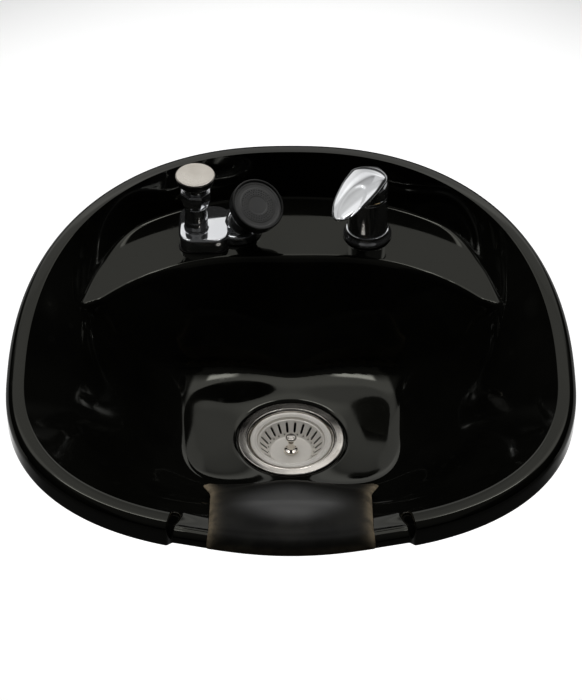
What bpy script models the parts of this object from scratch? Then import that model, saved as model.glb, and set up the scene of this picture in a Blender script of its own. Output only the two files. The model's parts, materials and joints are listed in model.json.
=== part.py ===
"""Tilting shampoo bowl: glazed bowl, drain, mixer, vacuum breaker, hand spray and wall bracket.

World frame: the origin is the middle of the wall plate's back face, on the wall. +X is right,
+Y points into the wall, +Z is up, so the client's neck is at -Y. The bowl tilts about a line
along X through its two pivot bolts, above and in front of the origin.
"""
import math

import bmesh
import bpy
import numpy as np
from mathutils import Matrix, Vector

MM = 0.001

# Fits, clearances and steps that many pieces share
GAP = 0.3 * MM
RUNNING = 0.5 * MM
OVERRUN = 2 * MM
WELD = 0.01 * MM
FINE_SIDES = 36
ROUND_SIDES = 24
SMALL_SIDES = 16
TUBE_SIDES = 12
NUT_SIDES = 12
HEX = 6
QUARTER = 90.0
BAR_FACES = ((0, 3, 2, 1), (4, 5, 6, 7), (0, 1, 5, 4), (1, 2, 6, 5), (2, 3, 7, 6), (3, 0, 4, 7))

# Basket strainer drain
FLANGE_RADIUS = 56.5 * MM
FLANGE_THICKNESS = 2.2 * MM
FLANGE_ROUND = 1.2 * MM
CUP_RADIUS = 42 * MM
CUP_WALL = 2.3 * MM
CUP_DEPTH = 44 * MM
CUP_FLOOR = 3 * MM
BASKET_SEAT_WIDTH = 1.6 * MM
BASKET_SEAT_RADIUS = CUP_RADIUS + BASKET_SEAT_WIDTH
BASKET_SEAT_DEPTH = 4.2 * MM
FLANGE_SLOPE_WIDTH = 3.4 * MM
FLANGE_STEP_RADIUS = BASKET_SEAT_RADIUS + FLANGE_SLOPE_WIDTH
OUTLET_RADIUS = 20 * MM
OUTLET_WALL = 4 * MM
OUTLET_LENGTH = 22 * MM
OUTLET_DEPTH = CUP_DEPTH + OUTLET_LENGTH
SEAL_WIDTH = 9.5 * MM
UNDER_WASHER_WIDTH = 13 * MM
UNDER_WASHER_THICKNESS = 3 * MM
FRICTION_RING_THICKNESS = 1.5 * MM
LOCK_NUT_HEIGHT = 12 * MM
LOCK_NUT_WIDTH = 11 * MM
LOCK_NUT_LUGS = 8
TAIL_WALL = 1.5 * MM
TAIL_INSET = 1 * MM
TAIL_RADIUS = OUTLET_RADIUS - TAIL_INSET
TAIL_FLANGE_WIDTH = 3.5 * MM
TAIL_FLANGE_THICKNESS = 2 * MM
TAIL_LENGTH = 49 * MM
TAIL_BOTTOM_DEPTH = OUTLET_DEPTH + TAIL_LENGTH
TAIL_WASHER_THICKNESS = 2 * MM
SLIP_NUT_WALL = 4.5 * MM
SLIP_NUT_GRIP = 11 * MM
SLIP_NUT_LIP = 3 * MM
SLIP_NUT_LUGS = 8

# Lift-out strainer
BASKET_RIM_WIDTH = 6.6 * MM
BASKET_RIM_RISE = 1.8 * MM
BASKET_METAL = 1.2 * MM
BASKET_DEPTH = 16 * MM
BASKET_FLOOR_RADIUS = 22 * MM
SLOT_COUNT = 22
SLOT_WIDTH = 2.2 * MM
SLOT_BEFORE_FLOOR = 3 * MM
SLOT_INNER_RADIUS = BASKET_FLOOR_RADIUS + SLOT_BEFORE_FLOOR
SLOT_LENGTH = 8.5 * MM
SLOT_OUTER_RADIUS = SLOT_INNER_RADIUS + SLOT_LENGTH
KNOB_STEM_RADIUS = 3.2 * MM
KNOB_HEAD_RADIUS = 6 * MM
KNOB_RISE = 2 * MM
KNOB_HEAD_HEIGHT = 7 * MM
KNOB_CROWN_SHARE = 0.85
KNOB_BEVEL_SHARE = 0.2
KNOB_FOOT_RADIUS = 8 * MM
KNOB_FOOT_HEIGHT = 2 * MM
STOPPER_RADIUS = 24 * MM
STOPPER_THICKNESS = 4.5 * MM
STOPPER_NUT_HEIGHT = 3 * MM
STOPPER_NUT_FLATS = 5.5 * MM

# Bowl, set out from the middle of the drain
BOWL_HALF_WIDTH = 271 * MM
BOWL_BACK_REACH = 249 * MM
BOWL_FRONT_REACH = 229 * MM
RIM_TO_WALL = 46 * MM
WALL_TO_DRAIN = BOWL_BACK_REACH + RIM_TO_WALL
WIDEST_FORWARD = 49 * MM
BACK_SQUARENESS = 2.32
FRONT_SQUARENESS = 2.4
BOWL_WALL = 12 * MM
DRAIN_SEAT_DEPTH = 4 * MM
DRAIN_HOLE_ROOM = 0.7 * MM
DRAIN_HOLE_RADIUS = CUP_RADIUS + CUP_WALL + DRAIN_HOLE_ROOM
DRAIN_SEAT_ROOM = 1.5 * MM
DRAIN_SEAT_RADIUS = FLANGE_RADIUS + DRAIN_SEAT_ROOM
DRAIN_SEAT_SLOPE_WIDTH = 2 * MM
DRAIN_RECESS = DRAIN_SEAT_RADIUS + DRAIN_SEAT_SLOPE_WIDTH
SEAT_CORNER = 0.6 * MM
FLOOR_SIDE_WIDTH = 50 * MM
FLOOR_BACK_WIDTH = 28 * MM
FLOOR_FRONT_WIDTH = 20 * MM
FLOOR_SQUARENESS = 3.4
FLOOR_FALL = 7 * MM

# Deck, the flat crescent that carries the fittings
DECK_RISE = 130 * MM
DECK_HALF_ANGLE = 65.0
DECK_WALL_SLOPE = 2.3
DECK_EDGE_ROUND = 9 * MM
DECK_BACK_ROUND = 4 * MM
DECK_EDGE_SHARE = 0.444
DECK_TIP_SHARE = 0.77
DECK_EDGE_POWER = 1.5
DECK_EDGE_SOFTNESS = 0.5
DECK_CLOSE_ANGLE = 60.0
DECK_CLOSE_TURN_ANGLE = 10.0
DECK_CLOSE_SHARE = 0.2
DECK_FRONT = DRAIN_RECESS + DECK_EDGE_SHARE * (BOWL_BACK_REACH - DRAIN_RECESS)
DECK_DEPTH = BOWL_BACK_REACH - DECK_FRONT

# Stations of the side wall, by angle from the back: shoulder and, below it, a middle point
STATION_ANGLES = (0.0, 32.0, 50.0, 65.0, 90.0, 125.0, 150.0, 180.0)
SHOULDER_SHARES = (0.985, 0.970, 0.870, 0.815, 0.800, 0.780, 0.700, 0.600)
SHOULDER_RISES = (DECK_RISE, DECK_RISE, DECK_RISE, DECK_RISE, 100 * MM, 80 * MM, 67 * MM, 60 * MM)
MIDDLE_SHARE = 0.55
MIDDLE_RISE_SHARES = (0.42, 0.42, 0.42, 0.47, 0.57, 0.55, 0.50, 0.50)

# Rim and neck notch
SPLASH_BACK_RISE = 60 * MM
RIM_RISE_BACK = DECK_RISE + SPLASH_BACK_RISE
RIM_RISE_FRONT = 100 * MM
RIM_FLAT = 8.5 * MM
RIM_FLAT_DROP = 0.6 * MM
RIM_ROLL = 10.5 * MM
RIM_SKIRT = 29 * MM
SKIRT_ROUND = 3 * MM
NOTCH_HALF_WIDTH = 114 * MM
NOTCH_BLEND = 8 * MM
NOTCH_DROP = 15 * MM
NOTCH_LIP_RISE = RIM_RISE_FRONT - NOTCH_DROP
NOTCH_SAG = 8 * MM
NOTCH_DEPTH = 24 * MM
DIP_OUTSIDE_NOTCH = 91 * MM
DIP_HALF_WIDTH = NOTCH_HALF_WIDTH + DIP_OUTSIDE_NOTCH
LIP_FLAT = 2 * MM
LIP_ROLL = 9 * MM
LIP_SKIRT = 15 * MM

# How the bowl's surface is divided: meridians by angle, and rows as shares of the way out
MERIDIAN_STEP_ANGLE = 7.5
NOTCH_ANGLES = (6.4, 12.8, 19.2, 25.5, 31.0, 32.6, 33.6, 34.6, 36.5, 41.0)
NOTCH_CLEAR_ANGLE = 2.0
NORMAL_STEP_ANGLE = 0.006
ROLL_ANGLES = (30.0, 60.0, 90.0)
STATION_ROW_SHARES = (0.0, 0.16, 0.50, 0.68, 1.0)
INSIDE_ROW_SHARES = (0.0, 0.09, 0.15, 0.21, 0.31, 0.41, 0.475, 0.51, 0.54, 0.64, 0.68, 0.77, 0.86, 0.91,
                     0.95, 1.0)
OUTSIDE_ROW_SHARES = (0.0, 0.16, 0.30, 0.475, 0.51, 0.54, 0.66, 0.80, 1.0)
EDGE_ROW_LIMIT_SHARE = 0.88
UNDERSIDE_OUT_SHARES = (0.0, 0.5, 0.64, 1.0, 0.93)
UNDERSIDE_DOWN_SHARES = (1.3334, 1.05, 1.0, 1.0, 1.0)

# Neck rest, a rubber saddle over the notch's lip
REST_THICKNESS = 7 * MM
REST_EDGE_THICKNESS = 4 * MM
REST_CLEARANCE = 1.6 * MM
REST_HALF_WIDTH = 80 * MM
REST_WING_WIDTH = 10 * MM
REST_WING_SHARE = 0.35
REST_BULGE = 14 * MM
REST_BULGE_STATION_SHARES = (0.0, 0.35, 0.70, 1.0)
REST_BULGE_SHARES = (0.70, 0.95, 0.90, 0.0)
REST_TURN_STEPS = 8
REST_CORNER_LIFT = 9 * MM
REST_MIDDLE_SHARE = 0.32
REST_CORNER_SHARE = 0.50
REST_EDGE_SHARE = 0.16
REST_COLUMNS = 13
REST_INSIDE_ROWS = 8

# Mixer, set out from the drain's middle and the deck's top
MIXER_ACROSS = 82 * MM
MIXER_BEHIND_EDGE = 37.084 * MM
MIXER_BACK = DECK_FRONT + MIXER_BEHIND_EDGE
MIXER_SHANK_RADIUS = 16.6 * MM
MIXER_HOLE_ROOM = 0.9 * MM
MIXER_HOLE_RADIUS = MIXER_SHANK_RADIUS + MIXER_HOLE_ROOM
MIXER_SHANK_WALL = 3.6 * MM
MIXER_SHANK_BORE = MIXER_SHANK_RADIUS - MIXER_SHANK_WALL
MIXER_SHANK_LENGTH = 45 * MM
MIXER_GASKET_THICKNESS = 1.2 * MM
MIXER_WASHER_WIDTH = 5.4 * MM
MIXER_WASHER_RADIUS = MIXER_SHANK_RADIUS + MIXER_WASHER_WIDTH
MIXER_WASHER_THICKNESS = 2 * MM
MIXER_NUT_WIDTH = 3.4 * MM
MIXER_NUT_FLATS = MIXER_SHANK_RADIUS + MIXER_NUT_WIDTH
MIXER_NUT_HEIGHT = 8 * MM
CARTRIDGE_RADIUS = 17.5 * MM
CARTRIDGE_HEIGHT = 22 * MM
CARTRIDGE_SHOULDER = 4 * MM
CARTRIDGE_TOP_WIDTH = 5 * MM
ROTOR_RADIUS = 9 * MM
ROTOR_WALL = 3.4 * MM
ROTOR_BORE = ROTOR_RADIUS - ROTOR_WALL
ROTOR_DEPTH = 10 * MM
CARTRIDGE_TOP_RADIUS = ROTOR_RADIUS + CARTRIDGE_TOP_WIDTH
STEM_RADIUS = 3 * MM
STEM_BALL_ANGLES = (-60.0, -30.0, 0.0, 30.0)
CARTRIDGE_NUT_OVERLAP = 1 * MM
CARTRIDGE_NUT_BORE = ROTOR_RADIUS + CARTRIDGE_NUT_OVERLAP
CARTRIDGE_NUT_HEIGHT = 6 * MM
MIXER_BODY_WALL = 4.3 * MM
MIXER_BODY_RADIUS = CARTRIDGE_RADIUS + MIXER_BODY_WALL
MIXER_BODY_TAPER = 1.0 * MM
MIXER_BODY_FLARE = 2.4 * MM
MIXER_CHAMBER_FLOOR = 26 * MM
MIXER_FLOOR_THICKNESS = 10 * MM
CARTRIDGE_HEADROOM = 2 * MM
MIXER_BODY_TOP = MIXER_CHAMBER_FLOOR + CARTRIDGE_HEIGHT + CARTRIDGE_NUT_HEIGHT + CARTRIDGE_HEADROOM
MIXER_BASE_WIDTH = 4.2 * MM
MIXER_BASE_RADIUS = MIXER_BODY_RADIUS + MIXER_BASE_WIDTH
MIXER_BASE_HEIGHT = 12 * MM
MIXER_GASKET_INSET = 0.9 * MM
BASE_STEP_SHARE = 0.45
BASE_TOP_SHARE = 0.75
BASE_LEDGE = 1.2 * MM
TAIL_PIPE_RADIUS = 4 * MM
TAIL_PIPE_WALL = 1 * MM
TAIL_PIPE_BORE = TAIL_PIPE_RADIUS - TAIL_PIPE_WALL
TAIL_PIPE_CLEARANCE = 1 * MM
TAIL_PIPE_SPREAD = MIXER_SHANK_BORE - TAIL_PIPE_RADIUS - TAIL_PIPE_CLEARANCE
TAIL_PIPE_FORWARD = 3 * MM
TAIL_PIPE_BACK = MIXER_SHANK_BORE - TAIL_PIPE_RADIUS - TAIL_PIPE_CLEARANCE / 2
NIPPLE_RADIUS = TAIL_PIPE_SPREAD - TAIL_PIPE_CLEARANCE / 2
NIPPLE_LENGTH = 16 * MM
SUPPLY_DROP = 50 * MM
OUTLET_DROP = 20 * MM

# Mixer's handle
HANDLE_GAP = 1.5 * MM
HANDLE_INSET = 0.3 * MM
HANDLE_RADIUS = MIXER_BODY_RADIUS - HANDLE_INSET
HANDLE_WALL = 2.2 * MM
HANDLE_DOME_HEIGHT = 27 * MM
HANDLE_CAVITY_HEIGHT = 9 * MM
HANDLE_REACH = 74 * MM
HANDLE_TIP_DROP = 11 * MM
HANDLE_LEAF_THICKNESS = 8 * MM
HANDLE_TURNED_ANGLE = 28.0
HANDLE_LIFT_ANGLE = 18.0
DOME_ANGLES = (18.0, 36.0, 54.0, 72.0)
LEAF_ALONG_SHARES = (-0.10, 0.10, 0.28, 0.46, 0.64, 0.80, 0.92, 0.98, 1.0)
LEAF_WIDTH_SHARES = (0.86, 0.95, 0.97, 0.93, 0.84, 0.70, 0.50, 0.30, 0.10)
LEAF_THICKNESS_SHARES = (0.95, 1.0, 1.0, 1.0, 0.95, 0.85, 0.7, 0.5, 0.2)
LEAF_FALL_POWER = 1.5
LEAF_BELOW_DOME = 0.5 * MM
LEAF_SIDES = 12
STEM_SOCKET_DEPTH = 9 * MM
GRUB_RADIUS = 2 * MM
GRUB_LENGTH = 12 * MM

# Vacuum breaker, from its shank under the deck to its cap
BREAKER_ACROSS = 101 * MM
BREAKER_BACK_SHARE = 0.2863
BREAKER_BACK = DECK_FRONT + BREAKER_BACK_SHARE * DECK_DEPTH
RISER_SHANK_RADIUS = 9.5 * MM
RISER_BORE = 6 * MM
RISER_SHANK_LENGTH = 42 * MM
RISER_WIDTH = 2.5 * MM
RISER_RADIUS = RISER_SHANK_RADIUS + RISER_WIDTH
RISER_COLLAR_WIDTH = 1.5 * MM
RISER_COLLAR_RADIUS = RISER_RADIUS + RISER_COLLAR_WIDTH
RISER_COLLAR_HEIGHT = 11 * MM
RISER_HEIGHT = 29 * MM
FLOAT_RADIUS = 6.5 * MM
FLOAT_HEIGHT = 6 * MM
FLOAT_TRAVEL = 4 * MM
HOUSING_ROOF = 11 * MM
HOUSING_HEIGHT = FLOAT_HEIGHT + FLOAT_TRAVEL + HOUSING_ROOF
HOUSING_LEDGE = 0.6 * MM
HOUSING_LOW_FLATS = RISER_RADIUS + HOUSING_LEDGE
HOUSING_FLARE = 3.4 * MM
HOUSING_HIGH_FLATS = HOUSING_LOW_FLATS + HOUSING_FLARE
HOUSING_BAND_SHARE = 0.3333
HOUSING_BORE = FLOAT_RADIUS + RUNNING
FLOAT_STOP_WIDTH = 1.5 * MM
HOUSING_NECK_BORE = FLOAT_RADIUS - FLOAT_STOP_WIDTH
HOUSING_SIDES = 8
BONNET_WALL = 8 * MM
BONNET_RADIUS = HOUSING_NECK_BORE + BONNET_WALL
BONNET_HEIGHT = 8 * MM
CAP_DISC_RADIUS = 21 * MM
CAP_DISC_THICKNESS = 2.2 * MM
CAP_SKIRT_INSET = 0.8 * MM
CAP_SKIRT_RADIUS = CAP_DISC_RADIUS - CAP_SKIRT_INSET
CAP_SKIRT_HEIGHT = 8.5 * MM
CAP_SKIRT_DRAW_IN = 2 * MM
BREAKER_HOLE_ROOM = 0.7 * MM
BREAKER_HOLE_RADIUS = RISER_SHANK_RADIUS + BREAKER_HOLE_ROOM
BREAKER_NUT_WIDTH = 3.5 * MM
BREAKER_NUT_FLATS = RISER_SHANK_RADIUS + BREAKER_NUT_WIDTH
BREAKER_NUT_HEIGHT = 8 * MM
BREAKER_WASHER_WIDTH = 5.5 * MM
BREAKER_WASHER_RADIUS = RISER_SHANK_RADIUS + BREAKER_WASHER_WIDTH
BREAKER_WASHER_THICKNESS = 2 * MM

# Hand spray, turned about its own axis, which leans to the right and forward
SPRAY_FACE_ASIDE = 66.6 * MM
SPRAY_FACE_ACROSS = SPRAY_FACE_ASIDE - BREAKER_ACROSS
SPRAY_FACE_AHEAD = 16 * MM
SPRAY_FACE_BACK = BREAKER_BACK - SPRAY_FACE_AHEAD
SPRAY_FACE_OVER_DECK = 60 * MM
SPRAY_FACE_RISE = DECK_RISE + SPRAY_FACE_OVER_DECK
SPRAY_RIGHT_SHARE = 0.36
SPRAY_FORWARD_SHARE = 0.45
SPRAY_RISE_SHARE = 0.817
SPRAY_RADIUS = 29 * MM
SPRAY_WALL = 2.4 * MM
SPRAY_SIDE = 17 * MM
SPRAY_CONE = 15 * MM
SPRAY_BACK_THICKNESS = 3 * MM
SPRAY_FACE_INSET = 2.2 * MM
SPRAY_FACE_THICKNESS = 3 * MM
GRIP_RADIUS = 12.2 * MM
SPRAY_NECK_WIDTH = 0.8 * MM
SPRAY_NECK_RADIUS = GRIP_RADIUS + SPRAY_NECK_WIDTH
GRIP_BORE = 5 * MM
GRIP_LENGTH = 36 * MM
GRIP_TAPER_SHARE = 0.72
COUPLING_WALL = 1.6 * MM
COUPLING_RADIUS = GRIP_BORE + COUPLING_WALL
COUPLING_LENGTH = 16 * MM

# Fixture plate with the spray's holder, and the hose guide below the holder
PLATE_LEFT_OF_RISER = 19 * MM
PLATE_LEFT = BREAKER_ACROSS + PLATE_LEFT_OF_RISER
PLATE_RIGHT_OF_RISER = 35 * MM
PLATE_RIGHT = BREAKER_ACROSS - PLATE_RIGHT_OF_RISER
PLATE_BEFORE_RISER = 25 * MM
PLATE_FRONT = BREAKER_BACK - PLATE_BEFORE_RISER
PLATE_BEHIND_RISER = 37 * MM
PLATE_REAR = BREAKER_BACK + PLATE_BEHIND_RISER
PLATE_CORNER = 12 * MM
PLATE_HEIGHT = 17 * MM
LOBE_STEP = 5 * MM
LOBE_HEIGHT = PLATE_HEIGHT - LOBE_STEP
FITTING_GASKET_THICKNESS = 1 * MM
HOLDER_WALL = 3.4 * MM
HOLDER_LENGTH = 9 * MM
HOLDER_BELOW_HEAD = 18 * MM
HOLDER_ALONG = SPRAY_SIDE + SPRAY_CONE + HOLDER_BELOW_HEAD
GUIDE_HOLE_RADIUS = 17 * MM
GUIDE_WALL = 1.2 * MM
GUIDE_FLANGE_WIDTH = 2.5 * MM
GUIDE_FLANGE_THICKNESS = 1.5 * MM
GUIDE_BELOW_DECK = 14 * MM
GUIDE_NUT_HEIGHT = 6 * MM
GUIDE_NUT_WIDTH = 4 * MM
GUIDE_NUT_FLATS = GUIDE_HOLE_RADIUS + GUIDE_NUT_WIDTH
LOBE_BORDER = 10 * MM
LOBE_RADIUS = GUIDE_HOLE_RADIUS + LOBE_BORDER

# Bosses under the deck and the bolts in them
BOSS_ACROSS = 137 * MM
BOSS_FRONT_SHARE = 0.1055
BOSS_FRONT = DECK_FRONT + BOSS_FRONT_SHARE * DECK_DEPTH
BOSS_REAR_SHARE = 0.5813
BOSS_REAR = DECK_FRONT + BOSS_REAR_SHARE * DECK_DEPTH
BOSS_RADIUS = 14 * MM
BOSS_HEIGHT = 18 * MM
BOLT_RADIUS = 4 * MM
BOLT_HOLE_RADIUS = BOLT_RADIUS + GAP
BOLT_HEAD_FLATS = 6.5 * MM
BOLT_HEAD_HEIGHT = 5.5 * MM
BOLT_GRIP = 18 * MM

# Wall bracket: plate, ears and pivots
PIVOT_FORWARD = 45 * MM
PIVOT_RISE = 45 * MM
PIVOT_BELOW_DECK = 55 * MM
PIVOT_ABOVE_DRAIN = DECK_RISE - PIVOT_BELOW_DECK
BRACKET_METAL = 4 * MM
EAR_THICKNESS = 5 * MM
EAR_OUTSIDE_BOSS = 19 * MM
EAR_INNER_FACE = BOSS_ACROSS + EAR_OUTSIDE_BOSS
EAR_NOSE = 17 * MM
EAR_NOSE_ANGLES = (70.0, 160.0)
EAR_UNDER_ANGLES = (200.0, 260.0)
EAR_END_ANGLE = 12.0
EAR_SLOT_BORDER = 9 * MM
EAR_NECK_SHARE = 0.8
PLATE_SIDE_BORDER = 14 * MM
PLATE_WIDE = 2 * (EAR_INNER_FACE + EAR_THICKNESS + PLATE_SIDE_BORDER)
PLATE_TALL = 130 * MM
MOUNT_HOLE_RADIUS = 4.5 * MM
MOUNT_HOLE_INSIDE_EAR = 16 * MM
MOUNT_HOLE_ACROSS = EAR_INNER_FACE - MOUNT_HOLE_INSIDE_EAR
MOUNT_HOLE_BORDER = 17 * MM
MOUNT_HOLE_UP = PLATE_TALL / 2 - MOUNT_HOLE_BORDER
PIVOT_BOLT_RADIUS = 6 * MM
PIVOT_HEAD_FLATS = 9 * MM
PIVOT_HEAD_HEIGHT = 7.5 * MM
PIVOT_NUT_HEIGHT = 10 * MM
PIVOT_BOLT_END = 1.2 * MM
PIVOT_BUSH_WALL = 1.7 * MM
PIVOT_BUSH_FLANGE_WIDTH = 4.5 * MM
PIVOT_BUSH_FLANGE = 0.7 * MM

# Tilt clamp on the right ear
TILT_DOWN_ANGLE = 15.0
TILT_UP_ANGLE = 5.0
CLAMP_RADIUS = 70 * MM
CLAMP_ANGLE = 225.0
CLAMP_STUD_RADIUS = 5 * MM
CLAMP_SLOT_CLEARANCE = 0.6 * MM
SLOT_MARGIN_ANGLE = 1.5
CLAMP_HEAD_FLATS = 8 * MM
CLAMP_HEAD_HEIGHT = 6.5 * MM
CLAMP_WASHER_RADIUS = 13 * MM
CLAMP_WASHER_THICKNESS = 2.5 * MM
CLAMP_HUB_RADIUS = 12 * MM
CLAMP_HUB_LENGTH = 18 * MM
CLAMP_ARM_ANGLE = -40.0
CLAMP_ARM_LENGTH = 78 * MM
CLAMP_ARM_RADIUS = 5.5 * MM
CLAMP_KNOB_RADIUS = 9 * MM
CLAMP_KNOB_LENGTH = 34 * MM

# Cradle between the pivots and the bosses
CHEEK_THICKNESS = 5 * MM
CHEEK_GAP = 1.3 * MM
CHEEK_NOSE = 16 * MM
CHEEK_NOSE_ANGLES = (-60.0, 60.0)
CHEEK_STUD_BORDER = 13 * MM
CHEEK_STUD_ANGLES = (190.0, 330.0)
CHEEK_LIP = 12 * MM
CRADLE_METAL = 4 * MM
CRADLE_TUBE_RADIUS = 11 * MM
CRADLE_TUBE_WALL = 2 * MM
CRADLE_TUBE_FORWARD = 27 * MM
CRADLE_TUBE_DOWN = 18 * MM
FIXED_PIECES = ("wall_bracket", "pivot_bolt_left", "pivot_bolt_right", "pivot_nut_left",
                "pivot_nut_right")


def smoothstep(value):
    """Ease from 0 to 1 as value goes from 0 to 1."""
    value = np.clip(value, 0.0, 1.0)
    return value * value * (3.0 - 2.0 * value)


def soft_max(first, second, reach):
    """The larger of two heights, filleted where they come within reach of each other."""
    near = np.clip(reach - np.abs(first - second), 0.0, None) / reach
    return np.maximum(first, second) + near * near * reach / 4.0


def soft_min(first, second, reach):
    """The smaller of two heights, rounded where they come within reach of each other."""
    return -soft_max(-first, -second, reach)


def smooth_table(places, stations, values):
    """Read a table through its points with a smooth curve, level at both ends, that never overshoots."""
    stations = np.asarray(stations, dtype=float)
    values = np.asarray(values, dtype=float)
    slopes = hermite_slopes(np.diff(values) / np.diff(stations))
    slopes[0] = 0.0
    slopes[-1] = 0.0
    return hermite(places, stations, values, slopes)


def hermite_slopes(rises):
    """Slopes at the stations: the harmonic mean of the rises beside each, or level at a turn."""
    left, right = rises[..., :-1], rises[..., 1:]
    same_way = left * right > 0
    total = np.where(same_way, left + right, 1.0)
    inner = np.where(same_way, 2.0 * left * right / total, 0.0)
    return np.concatenate([rises[..., :1], inner, rises[..., -1:]], axis=-1)


def hermite(places, stations, values, slopes):
    """Cubic stretches between stations, for one table and any array of places."""
    places = np.asarray(places, dtype=float)
    index = np.clip(np.searchsorted(stations, places, side="right") - 1, 0, len(stations) - 2)
    width = stations[index + 1] - stations[index]
    t = np.clip((places - stations[index]) / width, 0.0, 1.0)
    return hermite_blend(t, width, values[index], values[index + 1], slopes[index], slopes[index + 1])


def hermite_blend(t, width, start, end, start_slope, end_slope):
    """One cubic stretch, t from 0 to 1, with its end heights and slopes."""
    square = t * t
    cube = square * t
    heights = (2 * cube - 3 * square + 1) * start + (3 * square - 2 * cube) * end
    return heights + width * ((cube - 2 * square + t) * start_slope + (cube - square) * end_slope)


def outline_radius(angles, half_width, back, front, back_power, front_power):
    """Distance from a squared oval's centre to its edge, by plan angle."""
    behind = np.sin(angles) > 0
    power = np.where(behind, back_power, front_power)
    depth = np.where(behind, back, front)
    across = np.abs(np.cos(angles) / half_width) ** power
    along = np.abs(np.sin(angles) / depth) ** power
    return (across + along) ** (-1.0 / power)


def rim_radius(angles):
    """Distance of the rim's inner edge from the middle of its widest line, by plan angle."""
    return outline_radius(angles, BOWL_HALF_WIDTH, BOWL_BACK_REACH + WIDEST_FORWARD,
                          BOWL_FRONT_REACH - WIDEST_FORWARD, BACK_SQUARENESS, FRONT_SQUARENESS)


def rim_outline(angles):
    """Plan points of the rim's inner edge, from the drain's middle."""
    radius = rim_radius(angles)
    return radius * np.cos(angles), radius * np.sin(angles) - WIDEST_FORWARD


def rim_normal(angles):
    """Outward plan direction square to the rim's inner edge."""
    small = math.radians(NORMAL_STEP_ANGLE)
    ahead = rim_outline(angles + small)
    behind = rim_outline(angles - small)
    along_x, along_y = ahead[0] - behind[0], ahead[1] - behind[1]
    length = np.hypot(along_x, along_y)
    return along_y / length, -along_x / length


def notch_amount(angles):
    """1 across the neck notch, 0 along the rim, eased between them."""
    x, y = rim_outline(angles)
    inside = smoothstep((NOTCH_HALF_WIDTH + NOTCH_BLEND - np.abs(x)) / NOTCH_BLEND)
    return np.where(y < -WIDEST_FORWARD, inside, 0.0)


def rim_plane(y):
    """Height of the sloped plane that the rim lies in."""
    slope = (RIM_RISE_BACK - RIM_RISE_FRONT) / (BOWL_BACK_REACH + BOWL_FRONT_REACH)
    return RIM_RISE_FRONT + slope * (y + BOWL_FRONT_REACH)


def rim_rise(angles):
    """Height of the rim's inner edge over the drain: a sloped plane, cut down at the neck notch."""
    x, y = rim_outline(angles)
    across = np.clip(x / NOTCH_HALF_WIDTH, -1.0, 1.0)
    lip = NOTCH_LIP_RISE - NOTCH_SAG * (1.0 - across * across) ** 2
    notch = notch_amount(angles)
    return rim_plane(y) * (1.0 - notch) + lip * notch


def wall_rise(angles):
    """Rim height with a wide, soft dip at the front, which the wall below the rim follows."""
    x, y = rim_outline(angles)
    dip = smoothstep(1.0 - np.abs(x) / DIP_HALF_WIDTH)
    dip = np.where(y < -WIDEST_FORWARD, dip, 0.0)
    return rim_plane(y) * (1.0 - dip) + (NOTCH_LIP_RISE - NOTCH_SAG) * dip


def edge_bend(from_back):
    """0 at the middle of the deck's edge and 1 at its tips, level across the middle."""
    half = DECK_EDGE_POWER / 2
    level = DECK_EDGE_SOFTNESS ** 2
    turn = (from_back / DECK_HALF_ANGLE) ** 2
    return ((turn + level) ** half - level ** half) / ((1 + level) ** half - level ** half)


def bowl_stations(angles):
    """Shares of the way from the drain recess to the rim of the foot, deck edge and shoulder."""
    rim_x, rim_y = rim_outline(angles)
    start_x, start_y = DRAIN_RECESS * np.cos(angles), DRAIN_RECESS * np.sin(angles)
    span = np.hypot(rim_x - start_x, rim_y - start_y)
    floor = outline_radius(angles, DRAIN_RECESS + FLOOR_SIDE_WIDTH, DRAIN_RECESS + FLOOR_BACK_WIDTH,
                           DRAIN_RECESS + FLOOR_FRONT_WIDTH, FLOOR_SQUARENESS, FLOOR_SQUARENESS)
    from_back = np.degrees(np.abs(np.angle(np.exp(1j * (angles - math.pi / 2)))))
    past_tip = np.clip((from_back - DECK_CLOSE_ANGLE) / DECK_CLOSE_TURN_ANGLE, 0.0, None)
    edge = DECK_EDGE_SHARE + (DECK_TIP_SHARE - DECK_EDGE_SHARE) * edge_bend(from_back)
    edge = edge + DECK_CLOSE_SHARE * past_tip ** 2
    shoulder = smooth_table(from_back, STATION_ANGLES, SHOULDER_SHARES)
    return span, (floor - DRAIN_RECESS) / span, edge, shoulder, from_back


def bowl_height(angles, shares):
    """Height of the glazed inside over the drain.

    angles has one row per meridian and shares one column per step out along it. A basin wall,
    smooth through its stations, is filleted with the deck block, whose front wall leans back.
    """
    span, foot, edge, shoulder, from_back = bowl_stations(angles)
    rise = wall_rise(angles)
    shoulder_rise = smooth_table(from_back, STATION_ANGLES, SHOULDER_RISES)
    middle_rise = shoulder_rise * smooth_table(from_back, STATION_ANGLES, MIDDLE_RISE_SHARES)
    middle = foot + (shoulder - foot) * MIDDLE_SHARE
    stations = np.stack([0 * foot, foot, middle, shoulder, 1 + 0 * foot], axis=-1)
    heights = np.stack([0 * rise, FLOOR_FALL + 0 * rise, middle_rise, shoulder_rise, rise], axis=-1)
    widths = np.diff(stations, axis=-1)
    slopes = hermite_slopes(np.diff(heights, axis=-1) / widths)
    basin = np.zeros_like(shares)
    for step in range(stations.shape[-1] - 1):
        inside = (shares >= stations[:, step, None]) & (shares <= stations[:, step + 1, None])
        t = (shares - stations[:, step, None]) / widths[:, step, None]
        stretch = hermite_blend(t, widths[:, step, None], heights[:, step, None],
                                heights[:, step + 1, None], slopes[:, step, None],
                                slopes[:, step + 1, None])
        basin = np.where(inside, stretch, basin)
    near_rim = smoothstep(1.0 - (1.0 - shares) * span[:, None] / NOTCH_DEPTH)
    basin = basin + (rim_rise(angles) - rise)[:, None] * near_rim
    front_wall = DECK_RISE + (shares - edge[:, None]) * span[:, None] * DECK_WALL_SLOPE
    block = soft_min(front_wall, DECK_RISE + 0 * shares, DECK_EDGE_ROUND)
    return soft_max(basin, block, DECK_BACK_ROUND)


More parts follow.
